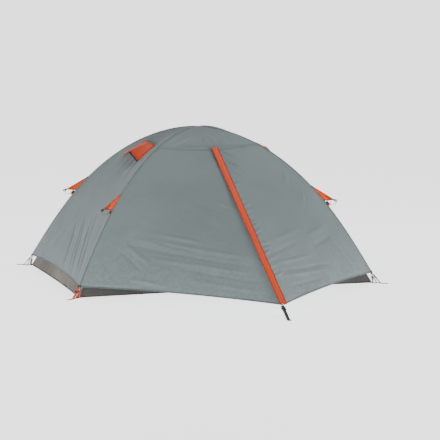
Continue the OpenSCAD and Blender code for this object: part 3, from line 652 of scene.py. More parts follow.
def folds_of(*rows):
    """Folds given as u and r of both ends, and width and height in millimetres."""
    return [((ua, ra), (ub, rb), w / 1000, h / 1000) for ua, ra, ub, rb, w, h in rows]


def mirrored(folds):
    return [((1 - a[0], a[1]), (1 - b[0], b[1]), w, h) for a, b, w, h in folds]


# Folds of an end wall, u from back to front: upright ones at the hem, fanning up from the corners
END_FOLDS = folds_of(
    (0.97, 0.2, 0.80, 5.8, 13, 7.5), (0.985, 0.5, 0.90, 6.8, 10, 6), (0.93, 0.2, 0.70, 4.6, 12, -8.5),
    (0.88, 0.1, 0.62, 4.0, 12, 8.5), (0.80, 0.1, 0.54, 3.6, 13, -8), (0.72, 0.1, 0.46, 3.9, 13, 8),
    (0.62, 0.1, 0.38, 3.4, 14, -7), (0.975, 1.5, 0.88, 8.0, 10, -5.5), (0.66, 9.4, 0.78, 6.6, 18, 6),
    (0.60, 9.0, 0.66, 7.6, 10, -6), (0.52, 8.9, 0.60, 7.4, 9, 5.5), (0.42, 8.9, 0.50, 7.5, 9, -5),
)
END_FOLDS += mirrored(END_FOLDS[:4])


def add_folds(height, share, folds, base, p):
    for fold in folds:
        height = height + share * ridge(base, p, *fold)
    return height


def relief_from(folds, base):
    def relief(u, r, p):
        share = smooth(np.minimum(u, 1 - u) / 0.025) * smooth(r / 0.3)
        return add_folds(slack(u, r, p), share, folds, base, p)
    return relief


def make_side(ca, cb, folds):
    base = fly_base(ca, cb)
    return Skin(base, relief_from(folds, base))


def fly_panel(name, points, node, body="tent", hole=None):
    obj = grid(name, points, fly_mat, body, hole)
    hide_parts(node)
    return obj


left_end = make_side(BL, FL, END_FOLDS)
right_end = make_side(FR, BR, mirrored(END_FOLDS))

up_the_end = np.concatenate([np.linspace(0, 10, 151), np.linspace(10, 15, 61)[1:]])
end_u, end_r = np.meshgrid(np.linspace(0, 1, 145), up_the_end)
VENT_HOLE = (135, 150, 48, 96)

left_cloth, right_cloth = (
    fly_panel(f"fly_{place}_cloth", end.at(end_u, end_r)[0], f"fly_{place}_end", hole=VENT_HOLE)
    for place, end in (("left", left_end), ("right", right_end))
)

# The piece over the top, from the front seam down to the back hem
TOP_FOLDS = folds_of(
    (0.45, 10.05, 0.47, 12.6, 10, -4), (0.60, 10.05, 0.57, 11.8, 12, 5),
    (0.66, 10.02, 0.61, 11.2, 10, -4.5), (0.72, 10.02, 0.66, 11.5, 12, 4.5),
    (0.10, 10.1, 0.30, 12.0, 16, 4), (0.90, 10.1, 0.74, 12.0, 16, 4),
)
front_base = fly_base(FL, FR, 0.0)
front_top = Skin(front_base, relief_from(TOP_FOLDS, front_base), outward=(0, -0.3, 1))
back_side = make_side(BL, BR, END_FOLDS[:9] + mirrored(END_FOLDS[:6]))
front_u, front_r = cells((0, 1, 161), (10, 15, 61))
back_u, back_r = np.meshgrid(np.linspace(0, 1, 161), np.linspace(15, 0, 191)[1:])
over = np.concatenate([front_top.at(front_u, front_r)[0], back_side.at(back_u, back_r)[0]])
top_cloth = fly_panel("fly_top_and_back_cloth", over, "fly_top_and_back")

# ---- vestibule ----
EDGE_GAP = 0.005
STRIP_U = 0.13


def vest_base(corner, side):
    def base(u, r):
        rise = 0.14 * 4 * u * (1 - u)
        q = r + np.clip(1 - r, 0, None) * rise
        edge = vault(corner, corner, np.zeros_like(u), HEM_F + (SEAM_F - HEM_F) * q / SEAM_ROW, FLY)
        seam = zip_point(1 - q / SEAM_ROW, 0.0, side * EDGE_GAP)
        return edge + (seam - edge) * u[..., None]
    return base


def vest_relief(folds, base):
    def relief(u, r, p):
        inside = smooth(u / 0.05) * smooth((1 - u) / 0.03)
        inside = inside * smooth((SEAM_ROW - r) / 0.3) * smooth(r / 0.3)
        wide = np.clip(4 * u * (1 - u), 0, 1)
        h = -0.016 * wide * smooth(r / 3) * smooth((SEAM_ROW - r) / 3)
        h = h + inside * (0.0024 * swell(p) + 0.0006 * crinkle(p))
        return add_folds(h, inside, folds, base, p)
    return relief


# On the left, slack folds run from the zip back across the wall; on the right, the zip's seam
# gathers the cloth in short puckers, and longer folds run down to the pegged corner.
LEFT_FOLDS = folds_of(
    (1.00, 2.75, 0.18, 3.35, 20, 10), (0.99, 2.15, 0.16, 2.95, 18, -8.5),
    (0.99, 1.75, 0.30, 2.20, 18, 8.5), (0.98, 1.20, 0.46, 1.75, 16, -6),
    (0.98, 0.60, 0.50, 1.10, 18, 6), (0.68, 3.45, 0.36, 3.75, 14, 8), (0.62, 2.90, 0.30, 3.30, 12, -8),
    (0.16, 2.95, 0.36, 1.60, 18, 8), (0.13, 2.60, 0.30, 1.30, 14, -6.5),
    (0.24, 0.75, 0.44, 0.42, 16, 7), (0.78, 6.25, 0.96, 5.85, 12, 5.5),
    (0.74, 5.75, 0.95, 5.35, 10, -4.5), (0.03, 0.4, 0.16, 6.4, 13, 6),
    (0.02, 1.0, 0.09, 7.2, 10, -5.5), (0.06, 0.3, 0.30, 4.6, 22, -4.5), (0.45, 6.6, 0.92, 4.2, 30, 4),
)
RIGHT_FOLDS = folds_of(
    (0.93, 1.85, 0.34, 1.32, 14, -10), (0.95, 1.55, 0.40, 1.05, 14, 9),
    (0.95, 2.35, 0.46, 2.15, 15, 8), (0.94, 2.90, 0.52, 3.20, 15, -6.5),
    (0.96, 0.90, 0.44, 0.62, 14, -6), (0.90, 3.60, 0.40, 3.90, 22, 5.5),
    (0.955, 9.75, 0.76, 9.30, 7, -9.5), (0.955, 9.45, 0.72, 8.95, 8, 10.5),
    (0.955, 9.10, 0.68, 8.35, 8, -12), (0.955, 8.75, 0.70, 8.00, 8, 10.5),
    (0.955, 8.45, 0.76, 7.80, 7, -8.5), (0.14, 7.6, 0.26, 6.6, 10, 5), (0.14, 7.1, 0.28, 6.1, 9, -5),
    (0.14, 6.0, 0.24, 5.2, 10, 5), (0.15, 5.6, 0.26, 4.8, 9, -4.5), (0.15, 3.6, 0.42, 3.3, 22, 6),
    (0.15, 2.9, 0.45, 2.6, 20, -6), (0.155, 0.4, 0.22, 3.8, 14, 7),
)
pucker_rng = np.random.default_rng(5)
for pucker_row in np.arange(1.6, 7.4, 0.34):
    reach = pucker_rng.uniform(0.06, 0.13)
    drop = pucker_rng.uniform(-0.10, 0.22)
    high = pucker_rng.uniform(0.0070, 0.0120)
    RIGHT_FOLDS.append(((0.985, pucker_row), (0.965 - reach, pucker_row + drop), 0.0075, high))
left_base, right_base = vest_base(FL, -1), vest_base(FR, 1)
left_vest = Skin(left_base, vest_relief(LEFT_FOLDS, left_base))
right_vest = Skin(right_base, vest_relief(RIGHT_FOLDS, right_base))
fixed_points = left_vest.at(*cells((0, 1, 161), (0, 10, 181)))[0]
strip_points = right_vest.at(*cells((0, STRIP_U, 25), (0, 10, 181)))[0]
door_points = right_vest.at(*cells((STRIP_U, 1, 151), (0, 9.95, 181)))[0]
fixed_cloth = fly_panel("vestibule_fixed_cloth", fixed_points, "vestibule_fixed_panel")
strip_cloth = fly_panel("ridge_strip_cloth", strip_points, "door_ridge_strip")
door_cloth = fly_panel("vestibule_door_cloth", door_points, "vestibule_door", body=None)


def joint_named(name):
    return next(j for j in frame["joints"] if j["name"] == name)


# The door's hinge axis, and how far across the door from it the strip along the sewn ridge ends
door_joint = joint_named("vestibule_door_swing")
door_axis = unit(np.array(door_joint["axis"]))
door_pos = np.array(door_joint["pos_m"])
toward = right_vest.at([0.6], [5.0])[0][0] - door_pos
toward = unit(toward - (toward @ door_axis) * door_axis)
strip_ends = (right_vest.at([STRIP_U] * 3, [0.0, 5.0, 9.9])[0] - door_pos) @ toward


def with_door(obj):
    """Bakes obj's placement into its mesh."""
    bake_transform(obj)


with_door(door_cloth)

# ---- hems and seams of the fly ----
def edge_ribbon(name, skin, u, r, width, thick, material, body="tent", lift=0.0):
    """A binding that lies along a line of a skin."""
    u, r = np.broadcast_arrays(np.asarray(u, float), np.asarray(r, float))
    p, n = skin.at(u, r, lift)
    t = unit(np.gradient(p, axis=0))
    return ribbon(name, p, np.cross(n, t), width, thick, material, body)


HEM_ROW, HEM_W, HEM_THICK = 0.06, 0.011, 0.0022
SEAM_W, RIDGE_THICK = 0.012, 0.0016
line = np.linspace(0, 1, 121)
for place, skin, u, width, body in (
    ("left_end", left_end, line, HEM_W, "tent"),
    ("right_end", right_end, line, HEM_W, "tent"),
    ("back", back_side, line, HEM_W, "tent"),
    ("vestibule_left", left_vest, line, SEAM_W, "tent"),
    ("ridge_strip", right_vest, line * STRIP_U, SEAM_W, "tent"),
    ("door", right_vest, STRIP_U + line * (1 - STRIP_U), SEAM_W, None),
):
    hem = edge_ribbon("hem_" + place, skin, u, HEM_ROW, width, HEM_THICK, hem_mat, body)
    if place == "door":
        with_door(hem)
ridge_rows = np.linspace(0.1, 14.7, 160)
for place, skin, u in (("back_left", left_end, 0.0), ("back_right", right_end, 1.0),
                       ("front_left", left_end, 1.0), ("front_right", right_end, 0.0)):
    edge_ribbon("seam_ridge_" + place, skin, u, ridge_rows, SEAM_W, RIDGE_THICK, seam_mat, lift=0.0012)
cap_rows = SEAM_ROW - 0.26 * line * (2 - line)
for place, skin in (("left", left_vest), ("right", right_vest)):
    edge_ribbon("seam_cap_" + place, skin, line, cap_rows, SEAM_W, HEM_THICK, seam_mat, lift=0.0010)

# ---- zip tapes and storm flap ----
TAPE_SIDE, TAPE_DEPTH, TAPE_W, TAPE_THICK = 0.0085, -0.0008, 0.011, 0.0012
tape_t = np.linspace(0.004, 0.998, 140)
fixed_line, door_line = (zip_point(tape_t, TAPE_DEPTH, side * TAPE_SIDE) for side in (-1, 1))
ribbon("zip_tape_fixed", fixed_line, ZIP_SIDE, TAPE_W, TAPE_THICK, black_web)
with_door(ribbon("zip_tape_door", door_line, ZIP_SIDE, TAPE_W, TAPE_THICK, black_web, body=None))

# The flap is sewn along the door's side of the zip and lies loose over the fixed side
FLAP_FREE, FLAP_SEWN = -0.0230, 0.0270
FLAP_S = np.concatenate([np.linspace(-0.0245, 0.010, 19), np.linspace(0.010, 0.0285, 11)[1:]])
FLAP_T = np.linspace(0.015, 0.997, 241)
flap_s, flap_t = np.meshgrid(FLAP_S, FLAP_T)


def flap_lift(s, t):
    flat = 0.0092 - 0.0050 * smooth((s - 0.008) / 0.018)
    sewn = smooth((s - 0.008) / 0.014)
    free = smooth((0.0 - s) / 0.022)
    pucker = 0.0013 * np.sin(t * 2 * math.pi * 46 + 2 * np.sin(t * 31)) * sewn
    drift = 0.0022 * np.sin(t * 2 * math.pi * 3.3 + 0.6) * free
    drift = drift + 0.0012 * np.sin(t * 2 * math.pi * 11) * free
    quilt = 0.0006 * np.cos((s - 0.002) / 0.016 * math.pi)
    return flat + pucker * 0.8 + drift + quilt


flap_points = zip_point(flap_t, flap_lift(flap_s, flap_t), flap_s)
flap = grid("storm_flap_cloth", flap_points, flap_mat, body=None)
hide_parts("storm_flap")


def with_flap(obj):
    """Bakes obj's placement into its mesh."""
    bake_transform(obj)


def flap_line(s_lift, s):
    """A line down the flap, just above its cloth."""
    return zip_point(FLAP_T, flap_lift(np.full_like(FLAP_T, s_lift), FLAP_T) + 0.0002, s)


with_flap(flap)
with_flap(ribbon("storm_flap_hem", flap_line(-0.0225, FLAP_FREE), ZIP_SIDE, 0.006, 0.0024,
                 orange_edge, body=None))
ribbon("storm_flap_seam", flap_line(FLAP_SEWN, FLAP_SEWN), ZIP_SIDE, 0.005, 0.0026,
       orange_edge, "vestibule_door")

# ---- vents ----
HOOD_TOP_W, HOOD_W, HOOD_H, HOOD_OFF = 0.280, 0.400, 0.048, 0.0030
PEAK_ROUND = 0.012
f_top, f_lip = step_at(1.008, FLY), step_at(0.906, FLY)


def hood_base(s, w, h):
    f = f_top + (f_lip - f_top) * s
    g, z = arch(f, FLY + HOOD_OFF)
    return np.stack([-HALF_L * g, w * (HOOD_TOP_W + (HOOD_W - HOOD_TOP_W) * s) / 2, z + h], -1)


def hood_lift(s, w):
    peak = np.sqrt(w * w + PEAK_ROUND) - math.sqrt(PEAK_ROUND)
    full = math.sqrt(1 + PEAK_ROUND) - math.sqrt(PEAK_ROUND)
    rise = HOOD_H * np.clip(s, 0, 1) ** 0.9 * (1 - peak / full)
    return rise - 0.010 * np.sin(math.pi * np.clip(s, 0, 1)) * np.abs(w) * (1 - np.abs(w)) * 2


# The sides of a hood dip into the wall, and the hidden right hood is drawn a little flatter
SIDE_DIP, FAR_RISE = -0.010, 0.85
hood_s, hood_w = np.meshgrid(np.linspace(0, 1, 31), np.linspace(-1, 1, 65), indexing="ij")
rim = smooth(1 - np.minimum((1 - np.abs(hood_w)) / 0.08, 1))
hood_flat = hood_base(hood_s, hood_w, 0.0)
hood_sunk = (hood_base(hood_s, hood_w, SIDE_DIP) - hood_flat) * rim[..., None]
SAME, FLIP = np.array([1.0, 1.0, 1.0]), np.array([-1.0, 1.0, 1.0])
HEAD_SIDE = np.array([1, 0, -0.7])
lip_w = np.linspace(-0.99, 0.99, 61)
lip_s = np.ones_like(lip_w)
head = hood_base(np.zeros(41), np.linspace(-1, 1, 41), 0.001)
vent_u, vent_r = cells((3.9 / 12, 8.1 / 12, 33), (8.9, 10.0, 17))
hood_down = hood_base(1.0, 0.0, 0.0) - hood_base(0.4, 0.0, 0.0)
hood_normal = unit(np.cross(hood_down, [0.0, 1.0, 0.0]))
hood_normal = hood_normal if hood_normal[2] > 0 else -hood_normal
for place, flip, skin, rise in (("left", SAME, left_end, 1.0), ("right", FLIP, right_end, FAR_RISE)):
    hood_points = hood_base(hood_s, hood_w, hood_lift(hood_s, hood_w) * rise) + hood_sunk
    lip_rise = hood_lift(lip_s, lip_w) * rise
    lip = hood_base(lip_s, lip_w, lip_rise + 0.0004)
    lip_low = hood_base(lip_s, lip_w, lip_rise - 0.010)
    hood = grid("vent_hood_cloth_" + place, hood_points * flip, orange_mat)
    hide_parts("vent_hood_" + place)
    binding = ribbon("vent_lip_" + place, lip * flip, (lip - lip_low) * flip, 0.009, 0.0028,
                     orange_edge)
    head_seam = ribbon("vent_head_seam_" + place, head * flip, HEAD_SIDE * flip, 0.008, 0.002,
                       bright_edge)
    for piece in (hood, binding, head_seam):
        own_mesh(piece)
    net = grid("vent_mesh_cloth_" + place, skin.at(vent_u, vent_r, -0.003)[0], vent_mat)
    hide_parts("vent_mesh_" + place)
    cloth_sheet(net)
    cloth_sheet(hood)

# ---- guy wings and tabs ----
wing_down, wing_along = cells((0, 1, 25), (0, 1, 25))
inner_edge = WING_A + (WING_B - WING_A) * wing_down[..., None]
wing_points = inner_edge + (WING_TIP - inner_edge) * (wing_along * 0.985)[..., None]
wing_n = unit(np.cross(WING_B - WING_A, WING_TIP - WING_A))
wing_n = wing_n if wing_n @ [0, -1, 0] > 0 else -wing_n
belly = 0.004 * np.sin(wing_down * math.pi) * (1 - wing_along)
flutter = 0.0015 * np.sin(wing_down * 9 + wing_along * 5) * (1 - wing_along)
wing_points = wing_points + wing_n * (belly + flutter)[..., None]
corner_patch = wing_points[12:, 9:] + wing_n * 0.0012
wing_root = WING_A + (WING_B - WING_A) * np.linspace(-0.04, 1.04, 15)[:, None]
TAB_LEAN = math.radians(40)
DIAGONAL_OUT = np.array([-HALF_L, -HALF_W, 0.0]) / FLOOR_HALF
TAB_OUT = DIAGONAL_OUT * math.cos(TAB_LEAN) + [0, 0, math.sin(TAB_LEAN)]
TAB_UP = -DIAGONAL_OUT * math.sin(TAB_LEAN) + [0, 0, math.cos(TAB_LEAN)]
tab_line = TAB_ROOT + np.outer(np.linspace(-0.002, 0.0165, 9), TAB_OUT)
tab_end = TAB_ROOT - TAB_UP * 0.0130 + np.outer(np.linspace(-0.001, 0.0172, 9), TAB_OUT)
for place, sx, sy in GUYS:
    def there(p):
        return to_corner(p, sx, sy)

    wing = grid("guy_wing_cloth_" + place, there(wing_points), orange_mat)
    cloth_sheet(wing)
    if place == "front_left":
        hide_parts("guy_wings")
    facing = there(wing_n)
    for edge, k in (("upper", 0), ("lower", 24)):
        hem_line = wing_points[:, k] + (wing_points[:, 12] - wing_points[:, k]) * 0.03
        across = np.cross(facing, there(WING_TIP) - there(wing_points[0, k]))
        ribbon(f"guy_wing_hem_{edge}_{place}", there(hem_line), across,
               np.linspace(0.008, 0.005, 25), 0.0026, orange_edge)
    patch = grid("guy_wing_patch_" + place, there(corner_patch), brown_mat)
    cloth_sheet(patch)
    ribbon("guy_wing_root_" + place, there(wing_root), there([-0.84, -0.54, 0]), 0.010, 0.0028,
           seam_mat)
    tab = ribbon("guy_tab_" + place, there(tab_line), there(TAB_UP), 0.037, 0.0034, black_web)
    ribbon("guy_tab_end_" + place, there(tab_end), there(TAB_UP), 0.0125, 0.0046, orange_web)
    if place == "front_left":
        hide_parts("guy_tabs")

# ---- straps ----
# Routes of straps are given as (out, up); WEAVE is the way through a buckle, in millimetres
def on_strap(a, b, d, n):
    h = unit(b - a)
    return a + h * d + np.array([-h[1], h[0]]) * n


BUCKLE_AT = 0.036
WEAVE = [(-20, 0), (-14, 3.2), (-9, 3.2), (-3, -3.2), (3, -3.2), (9, 3.2), (14, 3.2), (20, 0)]


def woven(a, b):
    return [on_strap(a, b, BUCKLE_AT + w / 1000, h / 1000) for w, h in WEAVE]


def standing(route, turn):
    """A route laid in the upright plane through the middle of the floor at angle turn."""
    route = np.asarray(route)
    return np.stack([route[:, 0] * math.cos(turn), route[:, 0] * math.sin(turn), route[:, 1]], -1)


DIAGONAL = math.atan2(HALF_W, HALF_L)
GROMMET_Z, GROUND_Z = 0.004, 0.0027
GROMMET_R = POLE_HALF + (FOOT_Z - GROMMET_Z) / math.tan(ALPHA)
PEG_R = 1.454
strap_from, strap_to = np.array([1.349, 0.076]), np.array([1.406, 0.012])
fly_strap = [(1.344, 0.084), strap_from, *woven(strap_from, strap_to), strap_to,
             (1.410, 0.0064), (1.428, 0.0056)]
tab_route = [(FLOOR_HALF - 0.003, GROMMET_Z), (GROMMET_R, GROMMET_Z), (1.400, GROMMET_Z),
             (1.440, GROUND_Z), (1.470, GROUND_Z), (1.474, GROUND_Z)]
wrap = [(FLOOR_HALF - 0.004, 0.004), (FLOOR_HALF + 0.003, 0.006),
        (FLOOR_HALF + 0.001, 0.030), (FLOOR_HALF - 0.008, 0.052)]
corner_patch_route = [(1.3410, 0.0925), (1.3445, 0.0860), (1.3470, 0.0800)]
CORNERS = (("front_left", math.pi + DIAGONAL, "orange"), ("back_right", DIAGONAL, "orange"),
           ("front_right", -DIAGONAL, "black"), ("back_left", math.pi - DIAGONAL, "black"))
EYELET_R, EYELET_SIDE, STRAP_THICK = 0.0052, 0.0055, 0.0018


def pierced(name, route, side, width, material, holes):
    """A strap end with eyelets: two narrow strips run past each eyelet, and whole strips join them."""
    pieces = []
    cuts = [0.0]
    along = from_start(spans(route))
    for h in holes:
        d = along[np.argmin(np.linalg.norm(route - h, axis=-1))]
        cuts += [d - EYELET_R, d + EYELET_R]
    cuts.append(along[-1])

    def part(a, b):
        q = np.linspace(a, b, max(3, int((b - a) / 0.003)))
        return np.stack([np.interp(q, along, route[:, k]) for k in range(3)], -1)

    def strip(tag, centre, wide):
        pieces.append(ribbon(f"{name}_{tag}", centre, side, wide, STRAP_THICK, material))

    for i in range(0, len(cuts) - 1, 2):
        if cuts[i + 1] - cuts[i] > 0.002:
            strip(i, part(cuts[i], cuts[i + 1]), width)
    for i in range(1, len(cuts) - 2, 2):
        for way, tag in ((1, "a"), (-1, "b")):
            beside = np.asarray(side) * way * (width / 2 + EYELET_SIDE) / 2
            middle = part(cuts[i] - 0.001, cuts[i + 1] + 0.001) + beside
            strip(f"{i}{tag}", middle, width / 2 - EYELET_SIDE)
    return pieces


for place, turn, colour in CORNERS:
    web = orange_web if colour == "orange" else black_web
    side = (-math.sin(turn), math.cos(turn), 0)
    strap_line = standing(rounded_route(fly_strap), turn)
    strap = ribbon("fly_strap_" + place, strap_line, side, 0.020, 0.0016, web)
    route = standing(rounded_route(tab_route, 16), turn)
    holes = standing([(GROMMET_R, GROMMET_Z), (PEG_R, GROUND_Z)], turn)
    tabs = pierced("corner_tab_" + place, route, np.array(side), 0.020, web, holes)
    if place.startswith("front"):
        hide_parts("fly_straps_" + colour)
        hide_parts("corner_webbing_" + colour)
    wrap_line = standing(rounded_route(wrap), turn)
    ribbon("corner_wrap_" + place, wrap_line, side, 0.034, 0.0020, web)
    patch_line = standing(rounded_route(corner_patch_route), turn)
    ribbon("corner_patch_" + place, patch_line, side, 0.030, 0.0050, black_web)

VEST_X = 0.051
vest_from, vest_to = np.array([1.876, 0.079]), np.array([2.006, 0.008])
vest_route = [vest_from, *woven(vest_from, vest_to), vest_to, (2.022, GROUND_Z), (2.055, GROUND_Z)]


def across_tent(route, x, sign):
    route = np.asarray(route)
    return np.stack([np.full(len(route), x), sign * route[:, 0], route[:, 1]], -1)


ALONG_X = np.array([1.0, 0, 0])
back_route = [(HALF_W * 0.99 + 0.010, 0.099), (0.896, 0.008), (0.912, GROUND_Z), (0.945, GROUND_Z)]
for name, node, route, x, sign, width, peg in (
    ("vestibule_strap", "vestibule_strap", vest_route, VEST_X, -1, 0.025, 2.040),
    ("back_tie_out_strap", "back_tie_out", back_route, 0.0, 1, 0.020, 0.930),
):
    strap_line = across_tent(rounded_route(route), x, sign)
    hole = np.array([x, sign * peg, GROUND_Z])
    pieces = pierced(name, strap_line, ALONG_X, width, black_web, [hole])
    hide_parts(node)

# ---- inner tent ----
TUB_LOW, TUB_HIGH = step_at(0.0035, INNER), step_at(0.130, INNER)
MESH_F, INNER_TOP_F = step_at(0.560, INNER), STEPS * 0.985
inner_swell = waves(21, 14, 0.4, 0.12)
tub_crumple = waves(22, 16, 0.22, 0.05)


def outwards(ca, cb):
    """The level way out of the floor's edge from ca to cb."""
    mid = (ca + cb) / 2
    return np.array([np.sign(round(mid[0], 6)), np.sign(round(mid[1], 6)), 0])


def inner_base(ca, cb, f0, f1, bowed):
    way = outwards(ca, cb)

    def base(u, r):
        p = vault(ca, cb, u, f0 + (f1 - f0) * r / 10, INNER)
        pull = bowed * 4 * u * (1 - u) * (1 - 0.06 * r)
        return p - way * pull[..., None]
    return base


def inner_sheet(name, ca, cb, f0, f1, bowed, rough, material, node=None,
                n=(97, 61)):
    """A panel of the inner tent between the steps f0 and f1."""
    base = inner_base(ca, cb, f0, f1, bowed)

    def relief(u, r, p):
        keep = smooth(np.minimum(u, 1 - u) / 0.05) * smooth(r / 0.6) * smooth((10 - r) / 0.6)
        return keep * (rough * inner_swell(p) + rough * 0.45 * tub_crumple(p))

    skin = Skin(base, relief)
    uu, rr = cells((0, 1, n[0]), (0, 10, n[1]))
    obj = grid(name, skin.at(uu, rr)[0], material)
    cloth_sheet(obj)
    if node:
        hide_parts(node)
    return skin


SIDES = (("front", FL, FR), ("right", FR, BR), ("back", BR, BL), ("left", BL, FL))
for place, ca, cb in SIDES:
    front, right = place == "front", place == "right"
    # The front bathtub wall takes the darker copy of the wall cloth, painted shade.
    skin = inner_sheet("bathtub_wall_" + place, ca, cb, TUB_LOW, TUB_HIGH, 0.015, 0.0022,
                       shaded_front_wall_mat if front else wall_mat, "bathtub_walls" if front else None,
                       (161, 31))
    edge_ribbon("bathtub_piping_" + place, skin, line, 0.35, 0.007, 0.0024, piping_mat)
    edge_ribbon("bathtub_top_seam_" + place, skin, line, 9.9, 0.010, 0.0020, piping_mat)
    if front:
        continue
    inner_sheet("inner_lower_cloth_" + place, ca, cb, TUB_HIGH, MESH_F, 0.006, 0.0025, inner_mat,
                "inner_lower_panels" if right else None)
    inner_sheet("inner_mesh_cloth_" + place, ca, cb, MESH_F, INNER_TOP_F, 0.0, 0.0018, mesh_mat,
                "inner_mesh_panels" if right else None)

# The front wall fills the space between the door's arch and the poles
ARCH_HALF, ARCH_TOP, ARCH_FOOT = 0.520, 0.850, 0.134


def on_front(x, z):
    g, h = arch(step_at(z, INNER), INNER)
    return np.stack([x, -HALF_W * g, h], -1)


def arch_height(a):
    return ARCH_FOOT + (ARCH_TOP - ARCH_FOOT) * np.clip(np.sin(a), 0, 1) ** 0.8


def arch_rim(a, grow):
    return on_front((ARCH_HALF + grow) * np.cos(a), arch_height(a) + grow * np.sin(a))


def front_edge(a):
    k = np.clip(1 - np.abs(a - math.pi / 2) / (math.pi / 2), 0, 1)
    foot = step_at(ARCH_FOOT, INNER)
    g, h = arch(foot + (INNER_TOP_F - foot) * k**0.8, INNER)
    way = np.sign(np.round(math.pi / 2 - a, 6))
    return np.stack([HALF_L * g * way * 0.999, -HALF_W * g, h], -1)


arch_a, arch_k = cells((0, math.pi, 121), (0, 1, 25))
near, far = arch_rim(arch_a, 0.007), front_edge(arch_a)
between = near + (far - near) * arch_k[..., None]
front_points = on_front(between[..., 0], between[..., 2])
still = smooth(arch_k / 0.1) * smooth((1 - arch_k) / 0.1)
front_points[..., 1] += 0.0016 * inner_swell(front_points) * still
front_wall = grid("inner_front_cloth", front_points, inner_mat)
cloth_sheet(front_wall)
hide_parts("inner_front_wall")
opening_a = np.radians(np.linspace(0.2, 89, 61))
opening_a, opening_x = np.meshgrid(opening_a, np.linspace(-1, 1, 61), indexing="ij")
hung_points = on_front(opening_x * ARCH_HALF * np.cos(opening_a), arch_height(opening_a))
hung_points[..., 1] += 0.0020 * inner_swell(hung_points) * smooth((1 - np.abs(opening_x)) / 0.1)
inner_door = grid("inner_door_cloth", hung_points, door_mat, body="inner_door")
cloth_sheet(inner_door)
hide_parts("inner_door")
a_line = np.linspace(0, math.pi, 121)
band_side = arch_rim(a_line, 0.010) - arch_rim(a_line, 0.0)
zip_band = ribbon("inner_zip_band", arch_rim(a_line, 0.0035), band_side, 0.006, 0.0028, black_web)
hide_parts("inner_door_zip")

# The floor lies on the ground, in rings from its middle out to the foot of the walls
edge_u = np.linspace(0, 1, 61)[:-1, None]
drawn_in = 0.006 + 0.015 * 4 * edge_u * (1 - edge_u)
ring = np.concatenate(
    [ca + (cb - ca) * edge_u - outwards(ca, cb)[:2] * drawn_in for _, ca, cb in SIDES]
)
out = np.linspace(0.0, 1.0, 31)
rings = out[:, None, None] * ring[None]
rings = np.concatenate([rings, rings[:, :1]], 1)
floor_points = np.concatenate([rings, np.full(rings.shape[:2] + (1,), 0.0022)], -1)
creased = tub_crumple(floor_points) * smooth((1 - out) / 0.2)[:, None]
floor_points[..., 2] += 0.0012 + 0.0010 * creased
floor_cloth = grid("floor_cloth", floor_points, floor_mat)
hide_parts("floor_sheet")

# The mesh pocket on the right wall, and the lantern loop under the crown
lo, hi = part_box("mesh_pocket")
POCKET_DEEP, POCKET_H, POCKET_BACK = 0.020, 0.178, 0.0185
pocket_u, pocket_v = cells((0, 1, 49), (0, 1, 31))


def in_pocket(depth, y, up):
    return np.stack([hi.x - POCKET_DEEP + depth, y, lo.z + up], -1)


bulge = 0.010 * np.sin(pocket_u * math.pi) * np.sin(pocket_v * math.pi * 0.75)
pocket_y, pocket_up = lo.y + (hi.y - lo.y) * pocket_u, POCKET_H * pocket_v + 0.001
edge_in = smooth(np.minimum(pocket_u, 1 - pocket_u) / 0.06) * smooth(pocket_v / 0.08)
front_depth = 0.018 - 0.016 * edge_in - bulge * 0.1
back_depth = np.full_like(pocket_y, POCKET_BACK)
front_net = grid("pocket_front_mesh", in_pocket(front_depth, pocket_y, pocket_up), mesh_mat)
back_net = grid("pocket_back_mesh", in_pocket(back_depth, pocket_y, pocket_up), mesh_mat)
cloth_sheet(front_net)
cloth_sheet(back_net)
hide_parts("mesh_pocket")
mouth_y = lo.y + (hi.y - lo.y) * np.linspace(0.02, 0.98, 41)
mouth = in_pocket(np.full(41, 0.002), mouth_y, np.full(41, 0.176))
ribbon("pocket_mouth_binding", mouth, (0, 0, 1), 0.007, 0.0024, black_web)
lo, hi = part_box("lantern_loop")
c = (np.array(lo) + np.array(hi)) / 2
LOOP_R = 0.016
turn = np.linspace(-0.5 * math.pi, 1.5 * math.pi, 49)
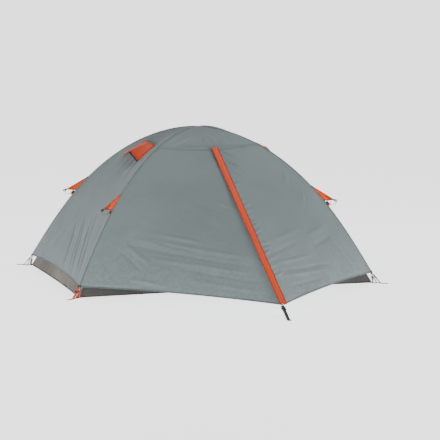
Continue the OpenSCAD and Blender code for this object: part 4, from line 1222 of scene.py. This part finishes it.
loop_line = c + np.stack([LOOP_R * np.cos(turn), np.zeros(49), LOOP_R * np.sin(turn)], -1)
lantern = ribbon("lantern_loop_web", loop_line, (0, 1, 0), 0.0040, 0.0016, black_web)
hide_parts("lantern_loop")

for sheet_obj in (left_cloth, right_cloth, top_cloth, fixed_cloth, strip_cloth, door_cloth):
    cloth_sheet(sheet_obj)
cloth_sheet(flap)

# ---- stage and light ----
def stage_material():
    m = Nodes("stage")
    coord = m.add("ShaderNodeTexCoord")
    n = m.noise(coord.outputs["Object"], 0.4, 2.0, 0.5)
    pale = m.mix(m.ramp(n, 0.3, 0.7), (0.93, 0.93, 0.93, 1), (0.95, 0.95, 0.95, 1))
    m.give("Base Color", pale)
    m.give("Roughness", 0.9)
    m.give("Specular IOR Level", 0.1)
    m.give("Emission Color", (1, 1, 1, 1))
    m.give("Emission Strength", 2.0)
    return m.mat


SQUARE = [(0, 0), (1, 0), (1, 1), (0, 1)]
stage_corners = [(400 * x - 200, 400 * y - 200, -0.0005) for x, y in SQUARE]
ground = new_mesh("stage_floor", stage_corners, [(0, 1, 2, 3)], stage_material(), SQUARE, body=None)
ground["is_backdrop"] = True

world = bpy.data.worlds.new("studio")
bpy.context.scene.world = world
world.use_nodes = True
sky = world.node_tree.nodes["Background"]
sky.inputs[0].default_value = (1, 1, 1, 1)
sky.inputs[1].default_value = 0.25


def softbox(name, at, target, size, power):
    light = bpy.data.lights.new(name, "AREA")
    light.shape = "SQUARE"
    light.size = size
    light.energy = power
    obj = in_scene(name, light)
    obj.location = at
    way = np.array(target, float) - np.array(at, float)
    tilt = math.atan2(math.hypot(way[0], way[1]), -way[2])
    obj.rotation_euler = (tilt, 0, math.atan2(way[1], way[0]) - math.pi / 2)


softbox("key", (-6.0, -4.0, 1.1), (0, -0.4, 0.2), 1.4, 120)
softbox("fill", (4.0, -7.5, 1.0), (0, -0.4, 0.1), 1.4, 230)
softbox("top", (1.5, 0.5, 4.5), (0, 0.2, 0.9), 2.0, 60)

low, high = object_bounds()
